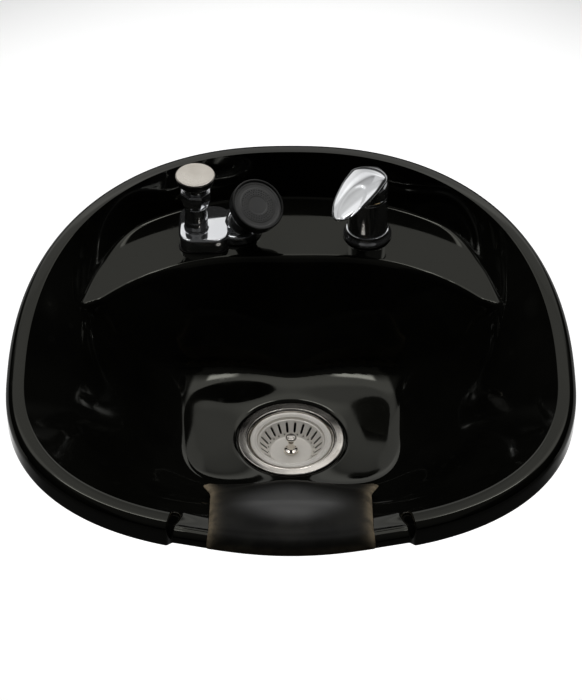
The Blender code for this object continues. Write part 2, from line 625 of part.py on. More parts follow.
def row_shares(angles, rows):
    """Shares along each meridian for rows spread evenly between its stations."""
    _, foot, edge, shoulder, _ = bowl_stations(angles)
    edge = np.minimum(edge, foot + EDGE_ROW_LIMIT_SHARE * (shoulder - foot))
    knots = np.stack([0 * foot, foot, edge, shoulder, 1 + 0 * foot], axis=-1)
    result = np.zeros((len(angles), len(rows)))
    for step in range(len(STATION_ROW_SHARES) - 1):
        low, high = STATION_ROW_SHARES[step], STATION_ROW_SHARES[step + 1]
        inside = (rows >= low) & (rows <= high)
        t = (rows - low) / (high - low)
        line = knots[:, step, None] + (knots[:, step + 1, None] - knots[:, step, None]) * t[None, :]
        result = np.where(inside[None, :], line, result)
    return result


def bowl_inside(angles, rows):
    """Points of the glazed inside: one row per meridian, one column per row value."""
    return inside_at(angles, row_shares(angles, rows))


def inside_at(angles, shares):
    """Points of the glazed inside at shares of the straight plan way from the recess to the rim."""
    rim_x, rim_y = rim_outline(angles)
    start_x, start_y = DRAIN_RECESS * np.cos(angles), DRAIN_RECESS * np.sin(angles)
    x = start_x[:, None] + (rim_x - start_x)[:, None] * shares
    y = start_y[:, None] + (rim_y - start_y)[:, None] * shares
    return np.stack([x, y, bowl_height(angles, shares)], axis=-1)


def plan_offset(points, angles, outward, drop):
    """Points moved outward square to the rim in plan, and down."""
    normal_x, normal_y = rim_normal(angles)
    moved = points.copy()
    moved[..., 0] += normal_x[:, None] * outward
    moved[..., 1] += normal_y[:, None] * outward
    moved[..., 2] -= drop
    return moved


def rim_section(angles, turns):
    """Points over the rim from its inner edge: a near-flat band, then a roll down to the skirt."""
    notch = notch_amount(angles)[:, None]
    flat = RIM_FLAT + (LIP_FLAT - RIM_FLAT) * notch
    roll = RIM_ROLL + (LIP_ROLL - RIM_ROLL) * notch
    skirt = RIM_SKIRT + (LIP_SKIRT - RIM_SKIRT) * notch
    band_out = np.concatenate([0 * flat, flat], axis=1)
    band_drop = np.concatenate([0 * flat, RIM_FLAT_DROP + 0 * flat], axis=1)
    roll_out = flat + roll * np.sin(turns)[None, :]
    roll_drop = RIM_FLAT_DROP + roll * (1 - np.cos(turns))[None, :]
    foot_out = np.concatenate([flat + roll, flat + roll - SKIRT_ROUND], axis=1)
    foot_drop = np.concatenate([skirt - SKIRT_ROUND, skirt], axis=1)
    outward = np.concatenate([band_out, roll_out, foot_out], axis=1)
    drop = np.concatenate([band_drop, roll_drop, foot_drop], axis=1)
    return outward, drop


def bowl_outside(angles, rows):
    """Points of the underside: the inside moved down and outward by the wall."""
    notch = notch_amount(angles)[:, None]
    skirt = RIM_SKIRT + (LIP_SKIRT - RIM_SKIRT) * notch
    stations = np.asarray(STATION_ROW_SHARES)
    outward = np.interp(rows, stations, UNDERSIDE_OUT_SHARES) * BOWL_WALL
    drop = np.interp(rows, stations, UNDERSIDE_DOWN_SHARES) * BOWL_WALL
    top = np.clip((rows - stations[-2]) / (stations[-1] - stations[-2]), 0.0, 1.0)
    lip = top[None, :] * notch
    outward = outward[None, :] * (1 - lip) + (LIP_FLAT + LIP_ROLL - SKIRT_ROUND - GAP) * lip
    drop = drop[None, :] * (1 - top[None, :]) + skirt * top[None, :]
    return plan_offset(bowl_inside(angles, rows), angles, outward, drop)


# Meshes and finishes

def finish(name, colour, roughness, metallic=0.0):
    """A plain material in the part's colour."""
    material = bpy.data.materials.new(name)
    material.use_nodes = True
    shader = material.node_tree.nodes["Principled BSDF"]
    shader.inputs["Base Color"].default_value = (*colour, 1.0)
    shader.inputs["Roughness"].default_value = roughness
    shader.inputs["Metallic"].default_value = metallic
    return material


def make_object(name, points, faces, material, place=None, smooth_angle=35.0):
    """An object from points and faces, with doubles merged and faces turned outward."""
    mesh = bpy.data.meshes.new(name)
    mesh.from_pydata([tuple(p) for p in points], [], faces)
    sheet = bmesh.new()
    sheet.from_mesh(mesh)
    bmesh.ops.remove_doubles(sheet, verts=sheet.verts, dist=WELD)
    bmesh.ops.dissolve_degenerate(sheet, edges=sheet.edges, dist=WELD)
    bmesh.ops.recalc_face_normals(sheet, faces=sheet.faces)
    sheet.to_mesh(mesh)
    sheet.free()
    mesh.materials.append(material)
    mesh.shade_smooth()
    mesh.set_sharp_from_angle(angle=math.radians(smooth_angle))
    thing = bpy.data.objects.new(name, mesh)
    bpy.context.collection.objects.link(thing)
    if place is not None:
        thing.matrix_world = place
    return thing


def grid_faces(rows, columns, close_rows, close_columns):
    """Quads over a grid of points stored row by row."""
    faces = []
    for row in range(rows if close_rows else rows - 1):
        for column in range(columns if close_columns else columns - 1):
            after_row = (row + 1) % rows
            after_column = (column + 1) % columns
            faces.append((row * columns + column, row * columns + after_column,
                          after_row * columns + after_column, after_row * columns + column))
    return faces


def turned(name, material, profile, place, sides, flats=0):
    """A turned solid about the local Z axis.

    profile is a list of (radius, height); a third value gives the number of flats of that ring,
    whose radius is then half the width across the flats. A profile that starts and ends on the
    axis makes a solid, and any other is closed into a ring.
    """
    angles = np.arange(sides) * 2 * math.pi / sides
    points = []
    for station in profile:
        radius, height = station[0], station[1]
        ring_flats = station[2] if len(station) > 2 else flats
        reach = np.full(sides, radius)
        if ring_flats:
            pitch = 2 * math.pi / ring_flats
            reach = radius / np.cos((angles + pitch / 2) % pitch - pitch / 2)
        points.extend(zip(reach * np.cos(angles), reach * np.sin(angles), np.full(sides, height)))
    on_axis = profile[0][0] == 0 and profile[-1][0] == 0
    faces = grid_faces(len(profile), sides, not on_axis, True)
    return make_object(name, points, faces, material, place)


def ring(name, material, inner, outer, low, high, place, sides=ROUND_SIDES, flats=0):
    """A plain ring, or a nut where flats are given; the facets of its bore stay outside inner."""
    bore = inner / math.cos(math.pi / sides)
    profile = [(bore, low), (bore, high), (outer, high, flats), (outer, low, flats)]
    return turned(name, material, profile, place, sides)


def prism(name, material, outline, low, high, place=None):
    """An outline in the local XY plane, extruded between two heights."""
    sheet = bmesh.new()
    corners = [sheet.verts.new((x, y, low)) for x, y in outline]
    base = sheet.faces.new(corners)
    grown = bmesh.ops.extrude_face_region(sheet, geom=[base])
    lifted = [item for item in grown["geom"] if isinstance(item, bmesh.types.BMVert)]
    bmesh.ops.translate(sheet, verts=lifted, vec=Vector((0, 0, high - low)))
    bmesh.ops.recalc_face_normals(sheet, faces=sheet.faces)
    mesh = bpy.data.meshes.new(name)
    sheet.to_mesh(mesh)
    sheet.free()
    mesh.materials.append(material)
    thing = bpy.data.objects.new(name, mesh)
    bpy.context.collection.objects.link(thing)
    if place is not None:
        thing.matrix_world = place
    return thing


def combine(target, other, operation):
    """Cut another object from the target, or join it to the target, and hide it."""
    change = target.modifiers.new(f"{operation.lower()} {other.name}", "BOOLEAN")
    change.operation = operation
    change.object = other
    change.solver = "EXACT"
    other.hide_render = True
    other.display_type = "WIRE"
    hang(other, target)


def hang(thing, carrier):
    """Make one object follow another, without moving it."""
    thing.parent = carrier
    thing.matrix_parent_inverse = carrier.matrix_world.inverted()


def joint_axis(name, place, moving):
    """An empty on a joint's axis, which carries the pieces that move about or along it."""
    axis = bpy.data.objects.new(name, None)
    bpy.context.collection.objects.link(axis)
    axis.matrix_world = place
    for thing in moving:
        hang(thing, axis)
    return axis


def rod(name, material, radius, low, high, place, sides=SMALL_SIDES):
    """A plain round bar, used as a cutter or joined into a larger piece."""
    profile = [(0, low), (radius, low), (radius, high), (0, high)]
    return turned(name, material, profile, place, sides)


def over_drain(x, y, z):
    """World place of a point set out from the drain's middle."""
    return Vector((x, y - WALL_TO_DRAIN, z - PIVOT_ABOVE_DRAIN + PIVOT_RISE))


def upright(x, y, z):
    """Frame with its Z axis up, set out from the drain's middle."""
    return Matrix.Translation(over_drain(x, y, z))


def sideways(x, y, z):
    """World frame with its Z axis along +X."""
    return Matrix.Translation(Vector((x, y, z))) @ Matrix.Rotation(math.pi / 2, 4, "Y")


def arc_points(centre, radius, start, end, steps):
    """Points on an arc in a plane, angles in degrees."""
    angles = np.radians(np.linspace(start, end, steps))
    return [(centre[0] + radius * math.cos(a), centre[1] + radius * math.sin(a)) for a in angles]


def rounded_rectangle(left, right, front, rear, corner):
    """Outline of a rectangle with round corners, anticlockwise from its rear right corner."""
    outline = []
    for number, (x, y) in enumerate(((right - corner, rear - corner), (left + corner, rear - corner),
                                     (left + corner, front + corner),
                                     (right - corner, front + corner))):
        outline += arc_points((x, y), corner, number * QUARTER, (number + 1) * QUARTER, 5)
    return outline


# Bowl

def meridian_angles():
    """Plan angles of the bowl's meridians, closer together beside the neck notch."""
    even = np.radians(np.arange(0.0, 360.0, MERIDIAN_STEP_ANGLE))
    offsets = np.concatenate([-np.asarray(NOTCH_ANGLES)[::-1], NOTCH_ANGLES])
    front = 3 * math.pi / 2
    near = np.abs(even - front) < math.radians(max(NOTCH_ANGLES) + NOTCH_CLEAR_ANGLE)
    return np.sort(np.concatenate([even[~near], front + np.radians(offsets), [front]]))


def build_bowl(glaze):
    """The glazed bowl: one closed wall from the drain seat over the rim and back underneath."""
    angles = meridian_angles()
    rows = np.asarray(INSIDE_ROW_SHARES)
    inside = bowl_inside(angles, rows)
    outward, drop = rim_section(angles, np.radians(ROLL_ANGLES))
    rim = plan_offset(np.repeat(inside[:, -1:], outward.shape[1], axis=1), angles, outward, drop)
    under_rows = np.asarray(OUTSIDE_ROW_SHARES)
    under = bowl_outside(angles, under_rows)[:, ::-1]
    circle = np.stack([np.cos(angles), np.sin(angles)], axis=-1)
    bottom = -DRAIN_SEAT_DEPTH - BOWL_WALL
    seat = [(DRAIN_HOLE_RADIUS, bottom), (DRAIN_HOLE_RADIUS, -DRAIN_SEAT_DEPTH),
            (DRAIN_SEAT_RADIUS, -DRAIN_SEAT_DEPTH), (DRAIN_SEAT_RADIUS, -SEAT_CORNER)]
    hole = np.stack([np.concatenate([circle * radius, np.full((len(angles), 1), height)], axis=1)
                     for radius, height in seat], axis=1)
    section = np.concatenate([hole, inside, rim[:, 1:], under], axis=1)
    section = section + np.array(over_drain(0, 0, 0))
    faces = grid_faces(section.shape[0], section.shape[1], True, True)
    bowl = make_object("bowl_shell", section.reshape(-1, 3), faces, glaze, smooth_angle=50.0)
    for number, (x, y) in enumerate(boss_places()):
        top = DECK_RISE - BOWL_WALL
        boss = rod(f"boss_{number}", glaze, BOSS_RADIUS, top - BOSS_HEIGHT, top + OVERRUN,
                   upright(x, y, 0))
        combine(bowl, boss, "UNION")
        depth = BOLT_GRIP - BRACKET_METAL + OVERRUN
        cutter = rod(f"boss_hole_{number}", glaze, BOLT_HOLE_RADIUS, top - BOSS_HEIGHT - OVERRUN,
                     top - BOSS_HEIGHT + depth, upright(x, y, 0), TUBE_SIDES)
        combine(bowl, cutter, "DIFFERENCE")
    holes = [("mixer", MIXER_HOLE_RADIUS, MIXER_ACROSS, MIXER_BACK),
             ("breaker", BREAKER_HOLE_RADIUS, -BREAKER_ACROSS, BREAKER_BACK),
             ("hose", GUIDE_HOLE_RADIUS, *guide_place())]
    for label, radius, x, y in holes:
        cutter = rod(f"deck_hole_{label}", glaze, radius, DECK_RISE - BOWL_WALL - OVERRUN,
                     DECK_RISE + OVERRUN, upright(x, y, 0), ROUND_SIDES)
        combine(bowl, cutter, "DIFFERENCE")
    return bowl


def boss_places():
    """Plan places of the four fixing bosses under the deck."""
    return [(side * BOSS_ACROSS, y) for side in (-1, 1) for y in (BOSS_FRONT, BOSS_REAR)]


def angles_at_width(wanted_x, shares):
    """Plan angles of the front at which the inside lies at the wanted x, at each share."""
    front = 3 * math.pi / 2
    angles = np.full(shares.shape, front)
    for _ in range(REST_TURN_STEPS):
        reach = DRAIN_RECESS + (rim_radius(angles) - DRAIN_RECESS) * shares
        angles = front + np.arcsin(np.clip(wanted_x / reach, -1.0, 1.0))
    return angles


def build_neck_rest(rubber):
    """The rubber saddle over the notch's lip: a padded tongue inside and a hooked front edge.

    Its sides run parallel and flare into small wings at the tongue's corners.
    """
    across = np.linspace(-1.0, 1.0, REST_COLUMNS)
    inner = REST_MIDDLE_SHARE + (REST_CORNER_SHARE - REST_MIDDLE_SHARE) * np.abs(across) ** 3
    steps = np.linspace(0.0, 1.0, REST_INSIDE_ROWS)
    shares = inner[:, None] + (1.0 - inner[:, None]) * steps[None, :]
    wing = np.clip(1.0 - steps / REST_WING_SHARE, 0.0, 1.0) ** 2
    half_width = REST_HALF_WIDTH + REST_WING_WIDTH * wing
    plan = angles_at_width(across[:, None] * half_width[None, :], shares)
    wall = inside_at(plan.ravel(), shares.reshape(-1, 1)).reshape(*shares.shape, 3)
    angles = plan[:, -1]
    outward, drop = rim_section(angles, np.radians(ROLL_ANGLES))
    lip = plan_offset(np.repeat(wall[:, -1:], outward.shape[1], axis=1), angles, outward, drop)
    surface = np.concatenate([wall[:, :-1], lip[:, 1:-2]], axis=1)
    along = np.gradient(surface, axis=1)
    sideways_step = np.gradient(surface, axis=0)
    normal = np.cross(along, sideways_step)
    normal = normal / np.linalg.norm(normal, axis=-1, keepdims=True)
    normal = normal * np.sign(normal[..., 2:3] + 1e-9)
    normal = smooth_rows(normal)
    inwardness = np.clip(1.0 - np.arange(surface.shape[1]) / REST_INSIDE_ROWS, 0.0, 1.0)
    lift = REST_CORNER_LIFT * np.abs(across)[:, None] ** 4 * inwardness[None, :] ** 1.5
    edge = np.minimum(rounded_edge(across)[:, None], rounded_edge(
        np.linspace(-1.0, 1.0, surface.shape[1]))[None, :])
    bulge_shares = smooth_table(1.0 - inwardness, REST_BULGE_STATION_SHARES, REST_BULGE_SHARES)
    bulge = REST_BULGE * (1.0 - across[:, None] ** 2) * bulge_shares[None, :]
    thick = REST_EDGE_THICKNESS + (REST_THICKNESS + bulge - REST_EDGE_THICKNESS) * edge
    lower = surface + normal * (lift + REST_CLEARANCE)[..., None]
    upper = surface + normal * (lift + REST_CLEARANCE + thick)[..., None]
    points = np.concatenate([lower, upper[:, ::-1]], axis=1) + np.array(over_drain(0, 0, 0))
    count, width = points.shape[0], points.shape[1]
    faces = grid_faces(count, width, False, True)
    half = width // 2
    for column in (0, count - 1):
        for row in range(half - 1):
            faces.append((column * width + row, column * width + row + 1,
                          column * width + width - 2 - row, column * width + width - 1 - row))
    return make_object("neck_rest", points.reshape(-1, 3), faces, rubber, smooth_angle=60.0)


def rounded_edge(across):
    """1 in the middle, falling as a quarter round to 0 at both ends."""
    inset = np.clip((1.0 - np.abs(across)) / REST_EDGE_SHARE, 0.0, 1.0)
    return np.sqrt(1.0 - (1.0 - inset) ** 2)


def smooth_rows(normal):
    """Average each normal with its neighbours along the path over the lip."""
    result = normal.copy()
    result[:, 1:-1] = normal[:, :-2] + 2 * normal[:, 1:-1] + normal[:, 2:]
    return result / np.linalg.norm(result, axis=-1, keepdims=True)


# Drain

def build_drain(steel, brushed, rubber, fibre, plastic, chrome):
    """The basket strainer's body, its seals and nuts, and the tailpiece."""
    place = upright(0, 0, 0)
    cup_outer = CUP_RADIUS + CUP_WALL
    outlet_outer = OUTLET_RADIUS + OUTLET_WALL
    shoulder = CUP_DEPTH + CUP_FLOOR
    turned("drain_flange", steel, [
        (FLANGE_RADIUS, -FLANGE_THICKNESS), (FLANGE_RADIUS, -FLANGE_ROUND),
        (FLANGE_RADIUS - FLANGE_ROUND, 0), (FLANGE_STEP_RADIUS, 0),
        (BASKET_SEAT_RADIUS, -BASKET_SEAT_DEPTH), (CUP_RADIUS, -BASKET_SEAT_DEPTH),
        (CUP_RADIUS, -CUP_DEPTH), (OUTLET_RADIUS, -CUP_DEPTH), (OUTLET_RADIUS, -OUTLET_DEPTH),
        (outlet_outer, -OUTLET_DEPTH), (outlet_outer, -shoulder), (cup_outer, -shoulder),
        (cup_outer, -FLANGE_THICKNESS)], place, FINE_SIDES)
    ring("drain_seal", rubber, cup_outer + GAP, cup_outer + GAP + SEAL_WIDTH,
         -DRAIN_SEAT_DEPTH + GAP, -FLANGE_THICKNESS - GAP, place, SMALL_SIDES)
    below = -DRAIN_SEAT_DEPTH - BOWL_WALL - GAP
    ring("drain_under_washer", rubber, cup_outer + GAP, cup_outer + GAP + UNDER_WASHER_WIDTH,
         below - UNDER_WASHER_THICKNESS, below, place, SMALL_SIDES)
    below -= UNDER_WASHER_THICKNESS + GAP
    ring("drain_friction_ring", fibre, cup_outer + GAP, cup_outer + GAP + UNDER_WASHER_WIDTH,
         below - FRICTION_RING_THICKNESS, below, place, SMALL_SIDES)
    below -= FRICTION_RING_THICKNESS + GAP
    ring("drain_lock_nut", plastic, cup_outer + GAP, cup_outer + GAP + LOCK_NUT_WIDTH,
         below - LOCK_NUT_HEIGHT, below, place, ROUND_SIDES, LOCK_NUT_LUGS)
    washer_top = -OUTLET_DEPTH - GAP
    flange_top = washer_top - TAIL_WASHER_THICKNESS - GAP
    flange_low = flange_top - TAIL_FLANGE_THICKNESS
    tail_flange = TAIL_RADIUS + TAIL_FLANGE_WIDTH
    bore = TAIL_RADIUS - TAIL_WALL
    ring("tailpiece_washer", rubber, bore + GAP, tail_flange, washer_top - TAIL_WASHER_THICKNESS,
         washer_top, place, SMALL_SIDES)
    turned("drain_tailpiece", chrome, [
        (bore, -TAIL_BOTTOM_DEPTH), (bore, flange_top), (tail_flange, flange_top),
        (tail_flange, flange_low), (TAIL_RADIUS, flange_low), (TAIL_RADIUS, -TAIL_BOTTOM_DEPTH)],
        place, ROUND_SIDES)
    thread = outlet_outer + GAP
    lip_top = flange_low - GAP
    turned("tailpiece_slip_nut", chrome, [
        (TAIL_RADIUS + GAP, lip_top - SLIP_NUT_LIP), (TAIL_RADIUS + GAP, lip_top),
        (thread, lip_top), (thread, -OUTLET_DEPTH + SLIP_NUT_GRIP),
        (thread + SLIP_NUT_WALL, -OUTLET_DEPTH + SLIP_NUT_GRIP, SLIP_NUT_LUGS),
        (thread + SLIP_NUT_WALL, lip_top - SLIP_NUT_LIP, SLIP_NUT_LUGS)], place, ROUND_SIDES)
    return build_strainer(brushed, rubber, steel)


def build_strainer(brushed, rubber, steel):
    """The lift-out basket with its slots, its knob and the stopper under it."""
    place = upright(0, 0, 0)
    rim = BASKET_SEAT_RADIUS - 2 * GAP
    seat = -BASKET_SEAT_DEPTH + 2 * GAP
    wall_top = rim - BASKET_RIM_WIDTH
    floor = -BASKET_DEPTH - FLANGE_THICKNESS
    hole = KNOB_STEM_RADIUS + GAP
    basket = turned("strainer_basket", brushed, [
        (hole, floor), (BASKET_FLOOR_RADIUS, floor), (wall_top, seat + BASKET_RIM_RISE / 2),
        (wall_top + BASKET_METAL, seat + BASKET_RIM_RISE), (rim - BASKET_METAL, seat + BASKET_RIM_RISE),
        (rim, seat + BASKET_RIM_RISE / 2), (rim, seat), (CUP_RADIUS - RUNNING, seat - GAP),
        (wall_top + BASKET_METAL, seat - GAP), (BASKET_FLOOR_RADIUS + BASKET_METAL,
                                                floor - BASKET_METAL / 2),
        (BASKET_FLOOR_RADIUS, floor - BASKET_METAL), (hole, floor - BASKET_METAL)],
        place, SLOT_COUNT * 2)
    cutters = slot_cutters(brushed, floor - 2 * BASKET_METAL, seat + 2 * BASKET_RIM_RISE)
    combine(basket, cutters, "DIFFERENCE")
    under = floor - BASKET_METAL - GAP
    bottom = under - STOPPER_THICKNESS - GAP - STOPPER_NUT_HEIGHT - GAP
    knob = turned("strainer_knob", steel, [
        (0, KNOB_RISE), (KNOB_HEAD_RADIUS * KNOB_CROWN_SHARE, KNOB_RISE),
        (KNOB_HEAD_RADIUS, KNOB_RISE - KNOB_HEAD_HEIGHT * KNOB_BEVEL_SHARE),
        (KNOB_STEM_RADIUS, KNOB_RISE - KNOB_HEAD_HEIGHT),
        (KNOB_STEM_RADIUS, floor + GAP + KNOB_FOOT_HEIGHT),
        (KNOB_FOOT_RADIUS, floor + GAP + KNOB_FOOT_HEIGHT / 2), (KNOB_FOOT_RADIUS, floor + GAP),
        (KNOB_STEM_RADIUS, floor + GAP), (KNOB_STEM_RADIUS, bottom), (0, bottom)],
        place, SMALL_SIDES)
    stopper = ring("strainer_stopper", rubber, hole, STOPPER_RADIUS, under - STOPPER_THICKNESS, under,
                   place, SMALL_SIDES)
    nut_top = under - STOPPER_THICKNESS - GAP
    nut = ring("stopper_nut", steel, hole, STOPPER_NUT_FLATS, nut_top - STOPPER_NUT_HEIGHT, nut_top,
               place, NUT_SIDES, HEX)
    return joint_axis("strainer_lift_axis", place, [basket, knob, stopper, nut])


def slot_cutters(material, low, high):
    """All the slots of the basket as one cutter of separate bars."""
    points, faces = [], []
    half = SLOT_WIDTH / 2
    for number in range(SLOT_COUNT):
        turn = Matrix.Rotation(2 * math.pi * number / SLOT_COUNT, 4, "Z")
        start = len(points)
        for height in (low, high):
            for x, y in ((SLOT_INNER_RADIUS, -half), (SLOT_OUTER_RADIUS, -half),
                         (SLOT_OUTER_RADIUS, half), (SLOT_INNER_RADIUS, half)):
                points.append(turn @ Vector((x, y, height)))
        faces += [tuple(start + corner for corner in face) for face in BAR_FACES]
    return make_object("slot_cutters", points, faces, material, upright(0, 0, 0))


# Mixer

def build_mixer(chrome, rubber, plastic, brass, ceramic, steel):
    """The single-lever mixer: body through the deck, cartridge, handle and three tails."""
    place = upright(MIXER_ACROSS, MIXER_BACK, DECK_RISE)
    base_low = MIXER_GASKET_THICKNESS + 2 * GAP
    ring("mixer_gasket", rubber, MIXER_SHANK_RADIUS + GAP, MIXER_BASE_RADIUS - MIXER_GASKET_INSET, GAP,
         GAP + MIXER_GASKET_THICKNESS, place, SMALL_SIDES)
    turned("mixer_base_ring", chrome, [
        (MIXER_SHANK_RADIUS + GAP, base_low), (MIXER_BASE_RADIUS, base_low),
        (MIXER_BASE_RADIUS, MIXER_BASE_HEIGHT * BASE_STEP_SHARE),
        (MIXER_BODY_RADIUS + BASE_LEDGE, MIXER_BASE_HEIGHT * BASE_TOP_SHARE),
        (MIXER_BODY_RADIUS + BASE_LEDGE, MIXER_BASE_HEIGHT),
        (MIXER_SHANK_RADIUS + GAP, MIXER_BASE_HEIGHT)], place, ROUND_SIDES)
    chamber = CARTRIDGE_RADIUS + GAP
    chamber_floor = MIXER_CHAMBER_FLOOR
    shank_top = chamber_floor - MIXER_FLOOR_THICKNESS
    body_low = MIXER_BASE_HEIGHT + GAP
    top_radius = MIXER_BODY_RADIUS - MIXER_BODY_TAPER
    turned("mixer_body", chrome, [
        (0, chamber_floor), (chamber, chamber_floor), (chamber, MIXER_BODY_TOP),
        (top_radius, MIXER_BODY_TOP),
        (MIXER_BODY_RADIUS - MIXER_BODY_TAPER / 2, body_low + MIXER_BODY_FLARE),
        (MIXER_BODY_RADIUS, body_low), (MIXER_SHANK_RADIUS, body_low),
        (MIXER_SHANK_RADIUS, -MIXER_SHANK_LENGTH), (MIXER_SHANK_BORE, -MIXER_SHANK_LENGTH),
        (MIXER_SHANK_BORE, shank_top), (0, shank_top)], place, ROUND_SIDES)
    below = -BOWL_WALL - GAP
    ring("mixer_under_washer", rubber, MIXER_SHANK_RADIUS + GAP, MIXER_WASHER_RADIUS,
         below - MIXER_WASHER_THICKNESS, below, place, SMALL_SIDES)
    below -= MIXER_WASHER_THICKNESS + GAP
    ring("mixer_lock_nut", brass, MIXER_SHANK_RADIUS + GAP, MIXER_NUT_FLATS,
         below - MIXER_NUT_HEIGHT, below, place, NUT_SIDES, HEX)
    tails = [("hot_tail", -TAIL_PIPE_SPREAD, -TAIL_PIPE_FORWARD, SUPPLY_DROP),
             ("cold_tail", TAIL_PIPE_SPREAD, -TAIL_PIPE_FORWARD, SUPPLY_DROP),
             ("outlet_tail", 0, TAIL_PIPE_BACK, OUTLET_DROP)]
    for name, x, y, drop in tails:
        low = -MIXER_SHANK_LENGTH - drop
        turned(name, brass, [
            (TAIL_PIPE_BORE, low), (TAIL_PIPE_BORE, shank_top - GAP),
            (TAIL_PIPE_RADIUS, shank_top - GAP), (TAIL_PIPE_RADIUS, low + NIPPLE_LENGTH),
            (NIPPLE_RADIUS, low + NIPPLE_LENGTH), (NIPPLE_RADIUS, low)],
            place @ Matrix.Translation(Vector((x, y, 0))), TUBE_SIDES)
    rotor = build_cartridge(place, plastic, brass, ceramic)
    frame = handle_frame(place)
    lift = joint_axis("handle_lift_axis", frame, build_handle(frame, chrome, steel))
    return joint_axis("handle_turn_axis", place, [rotor, lift])


def build_cartridge(place, plastic, brass, ceramic):
    """The cartridge in the body: housing, turning rotor, tilting stem and the nut over them."""
    low = MIXER_CHAMBER_FLOOR + GAP
    top = low + CARTRIDGE_HEIGHT
    well = ROTOR_RADIUS + GAP
    turned("cartridge_body", plastic, [
        (0, low), (CARTRIDGE_RADIUS, low), (CARTRIDGE_RADIUS, top - CARTRIDGE_SHOULDER),
        (CARTRIDGE_TOP_RADIUS, top), (well, top), (well, top - ROTOR_DEPTH - GAP),
        (0, top - ROTOR_DEPTH - GAP)], place, SMALL_SIDES)
    rotor = ring("cartridge_rotor", ceramic, ROTOR_BORE, ROTOR_RADIUS, top - ROTOR_DEPTH, top - GAP,
                 place, SMALL_SIDES)
    nut_low = top + GAP
    ring("cartridge_nut", brass, CARTRIDGE_NUT_BORE, CARTRIDGE_RADIUS, nut_low,
         nut_low + CARTRIDGE_NUT_HEIGHT, place, SMALL_SIDES)
    return rotor


def stem_ball_radius():
    """Radius of the stem's ball, which turns and tips in the rotor's bore."""
    return ROTOR_BORE - GAP


def lift_pivot_rise():
    """Height over the deck of the ball's middle, which rests just over the cartridge's well."""
    return MIXER_CHAMBER_FLOOR + GAP + CARTRIDGE_HEIGHT - ROTOR_DEPTH + stem_ball_radius()


def handle_frame(place):
    """The handle's frame: origin on the lift pivot, X along the lever, Z up the turning axis."""
    lever = Matrix.Rotation(math.radians(-QUARTER - HANDLE_TURNED_ANGLE), 4, "Z")
    return place @ Matrix.Translation(Vector((0, 0, lift_pivot_rise()))) @ lever


def build_handle(frame, chrome, steel):
    """The dome and leaf of the handle as one casting, on the cartridge's stem."""
    skirt_low = MIXER_BODY_TOP + HANDLE_GAP - lift_pivot_rise()
    cavity = skirt_low + HANDLE_CAVITY_HEIGHT
    dome_top = skirt_low + HANDLE_DOME_HEIGHT
    dome = turned("mixer_handle", chrome, [
        (0, skirt_low), (HANDLE_RADIUS, skirt_low), (HANDLE_RADIUS, cavity),
        *[(HANDLE_RADIUS * math.cos(a), cavity + (dome_top - cavity) * math.sin(a))
          for a in np.radians(DOME_ANGLES)], (0, dome_top)], frame, ROUND_SIDES)
    combine(dome, leaf_blade(chrome, frame, dome_top), "UNION")
    combine(dome, rod("handle_cavity", chrome, HANDLE_RADIUS - HANDLE_WALL, skirt_low - OVERRUN,
                      cavity, frame, ROUND_SIDES), "DIFFERENCE")
    socket_top = cavity + STEM_SOCKET_DEPTH
    combine(dome, rod("stem_socket", chrome, STEM_RADIUS + GAP, cavity - OVERRUN, socket_top,
                      frame, SMALL_SIDES), "DIFFERENCE")
    far = HANDLE_RADIUS + OVERRUN
    slope = math.tan(math.radians(HANDLE_LIFT_ANGLE))
    start = -HANDLE_WALL / 2
    relief = [(start + OVERRUN / slope, skirt_low - OVERRUN), (-far, skirt_low - OVERRUN),
              (-far, skirt_low + (far + start) * slope)]
    combine(dome, prism("rear_relief", chrome, relief, -far, far,
                        frame @ Matrix.Rotation(math.pi / 2, 4, "X")), "DIFFERENCE")
    ball = stem_ball_radius()
    neck = math.sqrt(ball ** 2 - STEM_RADIUS ** 2)
    stem = turned("cartridge_stem", steel, [
        (0, -ball), *[(ball * math.cos(a), ball * math.sin(a)) for a in np.radians(STEM_BALL_ANGLES)],
        (STEM_RADIUS, neck), (STEM_RADIUS, socket_top - GAP), (0, socket_top - GAP)],
        frame, SMALL_SIDES)
    grub_frame = (frame @ Matrix.Translation(Vector((0, 0, cavity + STEM_SOCKET_DEPTH / 2)))
                  @ Matrix.Rotation(-math.pi / 2, 4, "Y"))
    screw_low = STEM_RADIUS + 2 * GAP
    combine(dome, rod("grub_hole", chrome, GRUB_RADIUS + GAP, 0, HANDLE_RADIUS + OVERRUN,
                      grub_frame, TUBE_SIDES), "DIFFERENCE")
    screw = rod("handle_screw", steel, GRUB_RADIUS, screw_low, screw_low + GRUB_LENGTH, grub_frame,
                TUBE_SIDES)
    return [dome, stem, screw]


def leaf_blade(material, frame, dome_top):
    """The handle's leaf: oval sections along the lever, wide at the dome and round at its tip."""
    along = np.asarray(LEAF_ALONG_SHARES) * HANDLE_REACH
    width = np.asarray(LEAF_WIDTH_SHARES) * HANDLE_RADIUS
    fall = np.clip(along / HANDLE_REACH, 0.0, None) ** LEAF_FALL_POWER
    top = dome_top - HANDLE_TIP_DROP * fall - LEAF_BELOW_DOME
    turn = np.arange(LEAF_SIDES) * 2 * math.pi / LEAF_SIDES
    half = HANDLE_LEAF_THICKNESS / 2
    thick = half * np.asarray(LEAF_THICKNESS_SHARES)
    points = []
    for x, half_width, height, depth in zip(along, width, top, thick):
        for angle in turn:
            points.append((x, half_width * math.cos(angle), height - half + depth * math.sin(angle)))
    faces = grid_faces(len(along), LEAF_SIDES, False, True)
    faces.append(tuple(range(LEAF_SIDES)))
    last = (len(along) - 1) * LEAF_SIDES
    faces.append(tuple(last + step for step in range(LEAF_SIDES)))
    return make_object("leaf_blade", points, faces, material, frame)


# Left fitting

